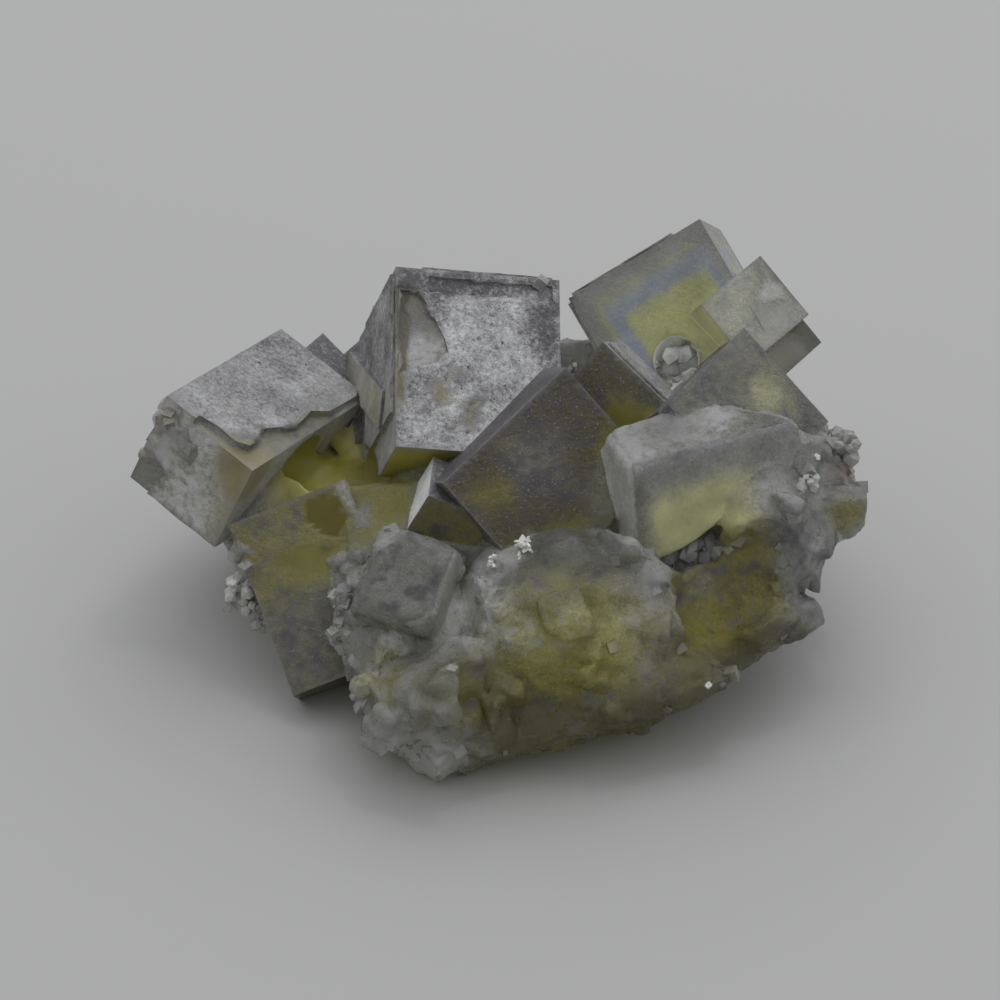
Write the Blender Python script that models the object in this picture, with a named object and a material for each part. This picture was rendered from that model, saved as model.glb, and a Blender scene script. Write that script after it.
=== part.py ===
"""Fluorite specimen: cubic crystals grown into each other on a broken crystalline base.

The whole cluster is one solid. It rests on a flat cleavage face, +X runs along its
length, and its origin is in the middle of its footprint, at the height of that face.
"""

import math
import random

import bmesh
import bpy
from mathutils import Euler, Matrix, Vector, noise
from mathutils.bvhtree import BVHTree

MM = 0.001
SEED = 11

# Cubes: size along their own axes (mm), middle (mm) and turn about X, Y and Z (degrees).
# The heights are above the resting face.
CUBES = {
    "left_cube": ((7.9, 14.1, 7.8), (-17.5, 8.2, 11.4), (-9, 22, -34)),
    "left_splinter": ((4.4, 6.6, 4.6), (-12.5, 15.4, 10.2), (-39, -14, -107)),
    "splinter_toe": ((2.0, 14.5, 2.6), (-8.5, 9.6, 14.3), (-159, -10, -172)),
    "centre_cube": ((11.4, 13.2, 13.0), (-2.9, 8.3, 14.6), (-53, 10, 8)),
    "tilted_cube": ((9.8, 11.4, 9.1), (2.3, 0.3, 13.2), (-138, 46, -21)),
    "inner_cube": ((9.2, 8.2, 9.6), (9.2, 5.7, 13.6), (-122, 27, -39)),
    "clear_cube": ((8.8, 10.5, 10.0), (12.3, 12.2, 18.6), (-137, 41, -49)),
    "right_cube": ((5.2, 6.0, 6.0), (16.3, 9.2, 20.0), (-162, 40, -34)),
    "right_bud": ((3.2, 4.2, 4.2), (18.8, 8.4, 18.5), (-150, 44, -28)),
    "right_shoulder": ((8.6, 8.5, 8.0), (15.1, 3.3, 15.1), (-161, 41, -27)),
    "lower_left_cube": ((8.5, 8.5, 12.5), (-11.8, -1.2, 4.6), (-45, -19, 11)),
    "front_right_cube": ((12.2, 5.0, 9.1), (13.6, -1.7, 14.4), (-2, -4, 21)),
    "small_prism": ((4.7, 4.0, 3.4), (-3.2, -2.8, 13.0), (7, 26, -1)),
    "front_left_cube": ((5.8, 7.0, 6.4), (-6.1, -9.0, 11.1), (-42, 12, -14)),
    "back_cube": ((9.5, 9.0, 8.5), (-6.5, 14.6, 8.8), (24, 35, 15)),
    "back_right_cube": ((8.0, 8.0, 8.0), (4.5, 15.6, 6.6), (-30, 12, 50)),
    "back_left_cube": ((7.0, 6.5, 7.5), (-15.5, 11.5, 5.6), (12, -32, 22)),
    "far_right_cube": ((7.5, 8.0, 7.0), (18.0, 9.5, 8.6), (40, 14, -20)),
}

# Growth steps: a thin plate on one face of a cube, its rise, and how far it stops short of
# that face's edges along the face's two axes: low and high, low and high (mm).
STEPS = [
    ("clear_cube", 1, 1, 0.25, (0.3, 2.6, 0.3, 1.8)),
    ("clear_cube", 0, -1, 0.25, (2.2, 0.3, 0.4, 2.4)),
    ("inner_cube", 1, -1, 0.2, (0.3, 2.4, 0.4, 3.0)),
    ("centre_cube", 0, -1, 0.3, (0.4, 3.8, 2.6, 0.4)),
    ("centre_cube", 2, 1, 0.3, (1.9, 0.4, 0.4, 3.4)),
    ("back_cube", 1, 1, 0.35, (0.4, 2.8, 1.9, 0.4)),
    ("back_cube", 2, 1, 0.35, (2.4, 0.4, 0.4, 2.0)),
    ("back_right_cube", 1, 1, 0.35, (0.4, 2.2, 0.4, 2.8)),
    ("back_left_cube", 0, -1, 0.3, (1.8, 0.4, 0.4, 1.6)),
    ("far_right_cube", 1, 1, 0.3, (0.4, 2.4, 1.8, 0.4)),
    ("far_right_cube", 0, 1, 0.3, (2.0, 0.4, 0.4, 1.6)),
]

# Corners lost along an octahedral cleavage: the cube, the corner, and the depth (mm).
CHIPPED = [
    ("front_left_cube", (-1, -1, 1), 1.5),
    ("front_left_cube", (1, -1, -1), 1.1),
    ("front_right_cube", (1, 1, 1), 3.0),
    ("back_cube", (1, 1, 1), 1.6),
    ("clear_cube", (-1, 1, 1), 1.2),
    ("far_right_cube", (1, 1, 1), 1.3),
    ("back_left_cube", (-1, 1, 1), 1.2),
    ("lower_left_cube", (1, -1, -1), 1.0),
]

# Broken-out skins: the outline on the face (mm, along the face's own two axes) of the
# part that is missing. Cube, axis of the face, side, how deep (mm), outline.
SKIN_BREAKS = {
    "left_cube_edge": (
        "left_cube", 2, 1, 0.5,
        [(-1.4, -7.6), (-1.4, -6.5), (0.0, -6.2), (1.6, -6.3), (2.5, -5.7), (2.5, -4.8), (1.9, -3.4),
         (3.1, -0.6), (2.7, 1.6), (3.5, 3.0), (3.6, 7.6), (4.6, 7.6), (4.6, -7.6)],
    ),
    "left_cube_corner": (
        "left_cube", 1, -1, 0.25,
        [(-4.8, -0.7), (-3.7, -0.1), (-1.6, -1.6), (-2.1, -3.5), (-2.6, -4.8), (-4.8, -4.8)],
    ),
    "centre_cube_terrace": (
        "centre_cube", 1, -1, 0.35,
        [(-5.5, 5.0), (-4.1, 4.9), (-3.0, 2.9), (-2.3, 1.5), (-2.1, 0.6), (-2.8, -0.2), (-4.8, -0.9),
         (-5.5, -1.2)],
    ),
    "front_right_undercut": (
        "front_right_cube", 1, -1, 3.2,
        [(-5.6, -4.2), (-4.3, -3.8), (-2.1, -3.3), (0.2, -1.9), (2.0, -2.1), (3.8, -1.0), (6.6, -0.2),
         (6.6, -5.6), (-4.8, -5.6)],
    ),
    "centre_cube_top_band": (
        "centre_cube", 1, -1, 0.2,
        [(-3.4, 4.8), (5.2, 4.9), (5.2, 6.0), (-3.4, 6.0)],
    ),
}

# Lumps of the broken base: middle (mm), half size (mm), cleavage turn (degrees), depth of cut.
LUMPS = {
    "core": ((1.0, 3.0, 6.6), (16.5, 11.5, 7.0), (10, 20, 30), 0.86),
    "back": ((2.0, 11.0, 6.2), (14.0, 8.0, 6.6), (35, 5, 10), 0.82),
    "left": ((-14.0, 4.5, 6.4), (5.5, 6.5, 5.0), (15, 40, 5), 0.84),
    "front_left": ((-5.6, -7.6, 5.8), (5.2, 5.4, 5.4), (50, 15, 25), 0.86),
    "front_tip": ((-4.2, -13.0, 4.2), (5.4, 4.8, 5.0), (5, 30, 60), 0.84),
    "front_milky": ((4.8, -7.4, 7.6), (8.2, 6.6, 5.6), (20, 10, 70), 0.86),
    "front_rim": ((5.4, -10.6, 4.2), (10.0, 5.0, 3.8), (40, 30, 20), 0.84),
    "front_right": ((14.0, -4.5, 6.2), (7.4, 6.0, 4.2), (40, 25, 15), 0.84),
    "right_wall": ((18.6, -0.2, 11.0), (5.3, 6.6, 5.4), (25, 35, 45), 0.84),
    "middle": ((3.0, 2.8, 10.0), (11.5, 7.0, 4.8), (60, 10, 20), 0.9),
    "foot": ((-1.0, 1.0, 3.2), (12.0, 10.0, 4.8), (20, 40, 10), 0.95),
    "heart": ((11.4, 1.6, 11.6), (5.2, 4.6, 4.6), (15, 25, 35), 0.9),
    "bridge": ((6.2, 10.2, 14.2), (3.6, 3.2, 3.4), (30, 10, 50), 0.84),
}
LUMP_ROUGHNESS = ((5.0, 1.6), (2.4, 1.0))  # size of the bumps, and the most they rise, mm
LUMP_SUBDIVISIONS = 3

# Shards standing out of a lump: how many, and their size range (mm).
SHARDS = {
    "front_left": (8, (2.4, 4.2)),
    "front_tip": (12, (2.2, 4.0)),
    "front_milky": (10, (3.0, 5.0)),
    "front_rim": (12, (2.6, 4.4)),
    "front_right": (8, (2.8, 4.6)),
    "right_wall": (11, (2.6, 4.6)),
    "back": (14, (3.4, 6.0)),
}
SHARD_POINTS = 10
SHARD_STRETCH = (0.8, 1.3)
SHARD_SEAT = 0.93  # how far out a shard's middle lies, as a share of the lump's half size
SHARD_ZONE = 1.5  # the height of the belt with shards, from the lump's top, in half heights
SHARD_STRAY = 0.3  # how far a shard strays round its lump, radians

# Small crystals seated on the surface: how many, edge range (mm), the spot they cluster
# about (mm), how far they spread (mm), and the direction from which they are reached.
DRUSE = {
    "left_rim": (18, (0.9, 2.0), (-18.0, -1.2, 6.6), 2.2, (-0.8, -0.6, 0.0)),
    "left_crust": (14, (0.7, 1.6), (-22.8, 4.2, 14.0), 2.4, (-0.9, -0.2, 0.4)),
    "front_left_rim": (12, (0.8, 1.6), (-10.0, -7.0, 9.0), 2.2, (-0.3, -0.9, 0.4)),
    "front_tip": (14, (0.9, 2.2), (-5.0, -14.6, 4.2), 4.2, (-0.1, -1.0, 0.2)),
    "front_milky": (4, (0.8, 1.8), (2.0, -12.0, 7.0), 4.5, (0.1, -1.0, 0.4)),
    "front_rim": (8, (0.8, 1.8), (6.0, -12.5, 3.4), 6.5, (0.2, -1.0, -0.1)),
    "right_edge": (12, (0.8, 1.8), (21.6, 1.8, 13.6), 2.0, (0.8, -0.3, 0.6)),
    "right_wall": (8, (0.8, 1.8), (20.0, -4.0, 8.0), 3.4, (0.6, -0.9, 0.2)),
    "pocket": (9, (0.8, 1.6), (12.4, 6.0, 18.4), 1.4, (0.0, -0.7, 0.8)),
    "back": (14, (1.0, 2.6), (0.0, 17.0, 6.0), 10.0, (0.0, 1.0, 0.3)),
}
DRUSE_STRETCH = (0.8, 1.25)
DRUSE_SEAT = (0.05, 0.3)  # how deep a small crystal's middle lies, as a share of its edge
REACH = 30.0  # how far out the search for the surface starts, mm

# Broken hollows: middle (mm), half size (mm), turn (degrees).
HOLLOWS = {
    "left_shell_break": ((-11.0, 4.3, 10.6), (5.4, 3.1, 2.4), (0, 0, -34)),
    "right_recess": ((16.0, -8.2, 10.8), (5.4, 3.2, 3.4), (0, -30, 20)),
    "heart_pocket": ((12.1, 6.8, 18.6), (1.7, 1.8, 1.7), (0, 0, 0)),
}

# Cleavage faces that cut the cluster: a point on the face and the way it faces (mm).
CLEAVED = {
    "right_underside": ((17.5, -6.5, 3.2), (0.5, -0.45, -0.75)),
    "front_underside": ((6.0, -13.4, 1.5), (0.25, -0.7, -0.65)),
    "left_underside": ((-18.3, 4.3, 1.5), (-0.75, 0.2, -0.65)),
    "back_underside": ((4.0, 17.0, 2.4), (0.1, 0.65, -0.75)),
}

FLOOR_SLAB = (80.0, 80.0, 20.0)  # what is cut away below the resting face, mm
CUTTER_SIZE = 60.0  # the blocks that cut cleavage faces, mm
PRISM_CLEARANCE = 0.6  # how far a skin cutter stands clear of the face, mm
GOLDEN_ANGLE = math.pi * (3.0 - math.sqrt(5.0))


def material(name, colour, roughness):
    """A Principled material with one colour."""
    made = bpy.data.materials.new(name)
    made.use_nodes = True
    shader = made.node_tree.nodes["Principled BSDF"]
    shader.inputs["Base Color"].default_value = (*colour, 1.0)
    shader.inputs["Roughness"].default_value = roughness
    shader.inputs["Metallic"].default_value = 0.0
    return made


def turned(degrees):
    """The rotation for three angles in degrees."""
    return Euler([math.radians(angle) for angle in degrees]).to_matrix()


def place(middle, degrees):
    """The matrix that turns a shape about its middle and sets it there, in metres."""
    return Matrix.Translation(Vector(middle) * MM) @ turned(degrees).to_4x4()


def helper(name, build, collection):
    """Turns a bmesh into an object that shapes the solid and isn't seen itself."""
    mesh = bpy.data.meshes.new(name)
    build.to_mesh(mesh)
    build.free()
    made = bpy.data.objects.new(name, mesh)
    made.hide_render = True
    made.display_type = "WIRE"
    collection.objects.link(made)
    return made


def box(name, size, matrix, collection):
    """A closed box of the given size in mm, set by a matrix."""
    build = bmesh.new()
    bmesh.ops.create_cube(build, size=1.0)
    bmesh.ops.scale(build, verts=build.verts, vec=Vector(size) * MM)
    bmesh.ops.transform(build, matrix=matrix, verts=build.verts)
    return helper(name, build, collection)


def ball(name, shape, collection):
    """A closed ball of radius 1 whose points are moved by shape()."""
    build = bmesh.new()
    bmesh.ops.create_icosphere(build, subdivisions=LUMP_SUBDIVISIONS, radius=1.0)
    for vert in build.verts:
        vert.co = shape(vert.co.copy())
    return helper(name, build, collection)


def random_direction(chance):
    """A unit vector, all directions being as likely."""
    height = chance.uniform(-1.0, 1.0)
    angle = chance.uniform(0.0, 2.0 * math.pi)
    ring = math.sqrt(1.0 - height * height)
    return Vector((ring * math.cos(angle), ring * math.sin(angle), height))


def shard(name, middle, size, chance, collection):
    """A broken piece with flat faces: the hull of a few points on a stretched ball."""
    build = bmesh.new()
    stretch = [size / 2 * chance.uniform(*SHARD_STRETCH) for _ in range(3)]
    turn = turned([chance.uniform(0, 360) for _ in range(3)])
    for _ in range(SHARD_POINTS):
        way = random_direction(chance)
        point = Vector((way.x * stretch[0], way.y * stretch[1], way.z * stretch[2]))
        build.verts.new((Vector(middle) + turn @ point) * MM)
    hull = bmesh.ops.convex_hull(build, input=build.verts)
    spare = [item for item in hull["geom_interior"] if isinstance(item, bmesh.types.BMVert)]
    bmesh.ops.delete(build, geom=spare, context="VERTS")
    bmesh.ops.recalc_face_normals(build, faces=build.faces)
    return helper(name, build, collection)


def shards_on(lump_name, count, sizes, collection):
    """Shards spread evenly over a lump, leaving out its underside."""
    middle, radii, _, _ = LUMPS[lump_name]
    chance = random.Random(f"{SEED} shards {lump_name}")
    for index in range(count):
        height = 1.0 - SHARD_ZONE * (index + 0.5) / count
        angle = GOLDEN_ANGLE * index + chance.uniform(-SHARD_STRAY, SHARD_STRAY)
        ring = math.sqrt(1.0 - height * height)
        way = (ring * math.cos(angle), ring * math.sin(angle), height)
        spot = [m + r * w * SHARD_SEAT for m, r, w in zip(middle, radii, way)]
        size = chance.uniform(*sizes)
        shard(f"{lump_name}_shard_{index:02d}", spot, size, chance, collection)


def face_prism(name, cube, axis, side, depth, outline, collection):
    """A prism over an outline on a cube's face, reaching the given depth into the cube."""
    size, middle, degrees = CUBES[cube]
    matrix = place(middle, degrees)
    along = [other for other in range(3) if other != axis]
    build = bmesh.new()
    corners = []
    for first, second in outline:
        point = Vector((0.0, 0.0, 0.0))
        point[axis] = side * (size[axis] / 2 - depth)
        point[along[0]] = first
        point[along[1]] = second
        corners.append(build.verts.new(matrix @ (point * MM)))
    base = build.faces.new(corners)
    raised = bmesh.ops.extrude_face_region(build, geom=[base])
    lift = Vector((0.0, 0.0, 0.0))
    lift[axis] = side * (depth + PRISM_CLEARANCE) * MM
    moved = [item for item in raised["geom"] if isinstance(item, bmesh.types.BMVert)]
    bmesh.ops.translate(build, verts=moved, vec=matrix.to_3x3() @ lift)
    bmesh.ops.recalc_face_normals(build, faces=build.faces)
    return helper(name, build, collection)


def cleavage_directions(degrees):
    """The eight octahedral cleavage directions of fluorite, turned."""
    turn = turned(degrees)
    found = []
    for x in (-1, 1):
        for y in (-1, 1):
            for z in (-1, 1):
                found.append(turn @ Vector((x, y, z)).normalized())
    return found


def lump(name, middle, radii, degrees, cut, collection):
    """A broken lump: an ellipsoid with bumps, flattened along its cleavage faces."""
    directions = cleavage_directions(degrees)
    stretch = Vector(radii)

    def shape(point):
        for way in directions:
            beyond = point.dot(way) - cut
            if beyond > 0:
                point -= way * beyond
        moved = Vector((point.x * stretch.x, point.y * stretch.y, point.z * stretch.z))
        moved += Vector(middle)
        outward = Vector((point.x / stretch.x, point.y / stretch.y, point.z / stretch.z))
        outward.normalize()
        for size, height in LUMP_ROUGHNESS:
            moved += outward * height * noise.noise(moved / size)
        return moved * MM

    return ball(name, shape, collection)


def hollow(name, middle, radii, degrees, collection):
    """A shell-shaped break, as an ellipsoid to cut away."""
    matrix = place(middle, degrees)

    def shape(point):
        return matrix @ (Vector((point.x * radii[0], point.y * radii[1], point.z * radii[2])) * MM)

    return ball(name, shape, collection)


def growth_step(cube, axis, side, rise, margins, collection):
    """A thin plate on a cube's face, smaller than the face."""
    size, middle, degrees = CUBES[cube]
    along = [other for other in range(3) if other != axis]
    plate = [0.0, 0.0, 0.0]
    offset = Vector((0.0, 0.0, 0.0))
    plate[axis] = 2 * rise
    offset[axis] = side * size[axis] / 2
    for index, (low, high) in zip(along, (margins[:2], margins[2:])):
        plate[index] = size[index] - low - high
        offset[index] = (low - high) / 2
    matrix = place(middle, degrees) @ Matrix.Translation(offset * MM)
    return box(f"{cube}_step", plate, matrix, collection)


def chip(build, size, corner, depth):
    """Takes a corner off a cube along its octahedral plane, and closes the cut."""
    tip = Vector([sign * length / 2 for sign, length in zip(corner, size)])
    outward = Vector(corner).normalized()
    point = (tip - outward * depth) * MM
    everything = build.verts[:] + build.edges[:] + build.faces[:]
    bmesh.ops.bisect_plane(build, geom=everything, plane_co=point, plane_no=outward, clear_outer=True)
    rim = [edge for edge in build.edges if edge.is_boundary]
    bmesh.ops.edgeloop_fill(build, edges=rim)


def crystal(name, collection):
    """One of the cubes, with its lost corners."""
    size, middle, degrees = CUBES[name]
    build = bmesh.new()
    bmesh.ops.create_cube(build, size=1.0)
    bmesh.ops.scale(build, verts=build.verts, vec=Vector(size) * MM)
    for cube, corner, depth in CHIPPED:
        if cube == name:
            chip(build, size, corner, depth)
    bmesh.ops.transform(build, matrix=place(middle, degrees), verts=build.verts)
    bmesh.ops.recalc_face_normals(build, faces=build.faces)
    return helper(name, build, collection)


def cleavage_cut(name, point, facing, collection):
    """A large block beyond a plane, to cut away."""
    normal = Vector(facing).normalized()
    turn = normal.to_track_quat("Z", "Y").to_matrix().to_4x4()
    middle = Vector(point) + normal * (CUTTER_SIZE / 2)
    matrix = Matrix.Translation(middle * MM) @ turn
    return box(name, (CUTTER_SIZE,) * 3, matrix, collection)


def boolean(target, operation, collection):
    """Adds an exact Boolean between the target and all of a collection."""
    modifier = target.modifiers.new(operation.lower(), "BOOLEAN")
    modifier.operation = operation
    modifier.operand_type = "COLLECTION"
    modifier.collection = collection
    modifier.solver = "EXACT"


def surface_of(target):
    """The evaluated surface of an object, for seating small crystals on it."""
    graph = bpy.context.evaluated_depsgraph_get()
    return BVHTree.FromObject(target, graph)


def small_crystals(name, count, edges, spot, spread, direction, surface, collection):
    """Small cubes seated in the surface about a spot."""
    chance = random.Random(f"{SEED} {name}")
    inward = -Vector(direction).normalized()
    side = inward.orthogonal().normalized()
    other = inward.cross(side)
    for index in range(count):
        reach = spread * math.sqrt(chance.random())
        angle = chance.uniform(0, 2 * math.pi)
        aim = Vector(spot) + (side * math.cos(angle) + other * math.sin(angle)) * reach
        start = (aim - inward * REACH) * MM
        hit, normal, _, _ = surface.ray_cast(start, inward, (REACH + 2 * spread) * MM)
        edge = chance.uniform(*edges)
        turn = [chance.uniform(0, 90) for _ in range(3)]
        stretch = [chance.uniform(*DRUSE_STRETCH) for _ in range(3)]
        if hit is None:
            continue
        middle = hit / MM - normal * edge * chance.uniform(*DRUSE_SEAT)
        size = [edge * factor for factor in stretch]
        box(f"{name}_{index:02d}", size, place(middle, turn), collection)


def centre_on_footprint(cluster):
    """Hangs everything on one empty, moved so that the origin is in the footprint's middle."""
    specimen = bpy.data.objects.new("specimen", None)
    bpy.context.scene.collection.objects.link(specimen)
    for made in bpy.data.objects:
        if made is not specimen:
            made.parent = specimen
    bpy.context.view_layer.update()
    graph = bpy.context.evaluated_depsgraph_get()
    corners = [Vector(corner) for corner in cluster.evaluated_get(graph).bound_box]
    for axis in (0, 1):
        places = [corner[axis] for corner in corners]
        specimen.location[axis] = -(min(places) + max(places)) / 2


def build():
    """Makes the specimen and returns its object."""
    for leftover in list(bpy.data.objects):
        bpy.data.objects.remove(leftover)
    scene = bpy.context.scene.collection
    groups = {}
    for name in ("growth", "broken_away", "druse", "below_rest"):
        groups[name] = bpy.data.collections.new(name)
        scene.children.link(groups[name])

    cluster = lump("fluorite_cluster", *LUMPS["core"], scene)
    cluster.hide_render = False
    cluster.display_type = "TEXTURED"
    cluster.data.materials.append(material("zoned_fluorite", (0.42, 0.41, 0.36), 0.35))
    for name, values in LUMPS.items():
        if name != "core":
            lump(name, *values, groups["growth"])
    for name, (count, sizes) in SHARDS.items():
        shards_on(name, count, sizes, groups["growth"])
    for name in CUBES:
        crystal(name, groups["growth"])
    for cube, axis, side, rise, margins in STEPS:
        growth_step(cube, axis, side, rise, margins, groups["growth"])
    boolean(cluster, "UNION", groups["growth"])

    for name, values in SKIN_BREAKS.items():
        face_prism(name, *values, groups["broken_away"])
    for name, (middle, radii, degrees) in HOLLOWS.items():
        hollow(name, middle, radii, degrees, groups["broken_away"])
    for name, (point, facing) in CLEAVED.items():
        cleavage_cut(name, point, facing, groups["broken_away"])
    boolean(cluster, "DIFFERENCE", groups["broken_away"])

    bpy.context.view_layer.update()
    surface = surface_of(cluster)
    for name, values in DRUSE.items():
        small_crystals(name, *values, surface, groups["druse"])
    boolean(cluster, "UNION", groups["druse"])

    slab = Matrix.Translation(Vector((0.0, 0.0, -FLOOR_SLAB[2] / 2)) * MM)
    box("resting_face", FLOOR_SLAB, slab, groups["below_rest"])
    boolean(cluster, "DIFFERENCE", groups["below_rest"])
    centre_on_footprint(cluster)
    return cluster


build()
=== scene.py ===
"""Looks of the fluorite specimen: zoned translucent cubes under frosted mauve-grey skins.

The crystals are one closed mesh, cut fine from the CAD solid. Its colours are painted from
the tables below: what each crystal face is like, and what shows in spots and patches on it.
Every place in the tables is in mm, before SHIFT brings the footprint's middle to the origin.
"""

import math
import random

import bmesh
import bpy
import numpy as np
from mathutils import Euler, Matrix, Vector, noise

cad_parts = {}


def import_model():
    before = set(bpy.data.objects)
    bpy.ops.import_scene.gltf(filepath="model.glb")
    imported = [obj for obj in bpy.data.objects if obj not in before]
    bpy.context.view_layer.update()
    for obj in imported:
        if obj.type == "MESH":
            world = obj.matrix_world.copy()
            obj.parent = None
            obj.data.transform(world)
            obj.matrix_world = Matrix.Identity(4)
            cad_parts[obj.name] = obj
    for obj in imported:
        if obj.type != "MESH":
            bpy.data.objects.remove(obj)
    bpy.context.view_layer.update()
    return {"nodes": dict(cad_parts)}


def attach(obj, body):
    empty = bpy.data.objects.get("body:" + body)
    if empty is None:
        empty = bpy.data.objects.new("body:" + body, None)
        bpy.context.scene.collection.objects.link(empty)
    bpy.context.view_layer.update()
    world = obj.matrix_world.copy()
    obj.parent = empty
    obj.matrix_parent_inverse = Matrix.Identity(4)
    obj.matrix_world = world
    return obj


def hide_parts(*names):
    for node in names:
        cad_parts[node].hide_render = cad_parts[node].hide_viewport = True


MM = 0.001
NODE = "fluorite_cluster"
SLOT = "zoned_fluorite"
SHIFT = (0.42322, -1.64045, 0.0)

# Cubes: size along their own axes, middle, and turn about X, Y and Z in degrees.
CUBES = {
    "left_cube": ((7.9, 14.1, 7.8), (-17.5, 8.2, 11.4), (-9, 22, -34)),
    "left_splinter": ((4.4, 6.6, 4.6), (-12.5, 15.4, 10.2), (-39, -14, -107)),
    "splinter_toe": ((2.0, 14.5, 2.6), (-8.5, 9.6, 14.3), (-159, -10, -172)),
    "centre_cube": ((11.4, 13.2, 13.0), (-2.9, 8.3, 14.6), (-53, 10, 8)),
    "tilted_cube": ((9.8, 11.4, 9.1), (2.3, 0.3, 13.2), (-138, 46, -21)),
    "inner_cube": ((9.2, 8.2, 9.6), (9.2, 5.7, 13.6), (-122, 27, -39)),
    "clear_cube": ((8.8, 10.5, 10.0), (12.3, 12.2, 18.6), (-137, 41, -49)),
    "right_cube": ((5.2, 6.0, 6.0), (16.3, 9.2, 20.0), (-162, 40, -34)),
    "right_bud": ((3.2, 4.2, 4.2), (18.8, 8.4, 18.5), (-150, 44, -28)),
    "right_shoulder": ((8.6, 8.5, 8.0), (15.1, 3.3, 15.1), (-161, 41, -27)),
    "lower_left_cube": ((8.5, 8.5, 12.5), (-11.8, -1.2, 4.6), (-45, -19, 11)),
    "front_right_cube": ((12.2, 5.0, 9.1), (13.6, -1.7, 14.4), (-2, -4, 21)),
    "small_prism": ((4.7, 4.0, 3.4), (-3.2, -2.8, 13.0), (7, 26, -1)),
    "front_left_cube": ((5.8, 7.0, 6.4), (-6.1, -9.0, 11.1), (-42, 12, -14)),
    "back_cube": ((9.5, 9.0, 8.5), (-6.5, 14.6, 8.8), (24, 35, 15)),
    "back_right_cube": ((8.0, 8.0, 8.0), (4.5, 15.6, 6.6), (-30, 12, 50)),
    "back_left_cube": ((7.0, 6.5, 7.5), (-15.5, 11.5, 5.6), (12, -32, 22)),
    "far_right_cube": ((7.5, 8.0, 7.0), (18.0, 9.5, 8.6), (40, 14, -20)),
}

# What the crystal is like under its skin.
BODY = {
    "smoke": "#c4c4c0",
    "dim_smoke": "#96958b",
    "milk": "#d6d6d1",
    "hollow_straw": "#beb87c",
    "hollow_olive": "#aca548",
    "recess_brown": "#9a924e",
    "white": "#f2f2ef",
    "granular": "#a8a699",
    "pale_granular": "#c6c4b6",
    "drusy_olive": "#a09966",
    "dark_glass": "#6d6a5c",
    "dark_granular": "#6f6852",
    "deep_olive": "#a79f45",
    "olive": "#5f5700",
    "straw": "#d4d08c",
    "deep_straw": "#7d7538",
    "yellow": "#cdcc90",
    "pale_yellow": "#e2e1a6",
    "blue_smoke": "#a6b0c6",
    "rust": "#8f675c",
    "ochre": "#8f8355",
    "ink": "#232221",
    "zone_grey": "#abacac",
    "zone_straw": "#c9c796",
}

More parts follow.
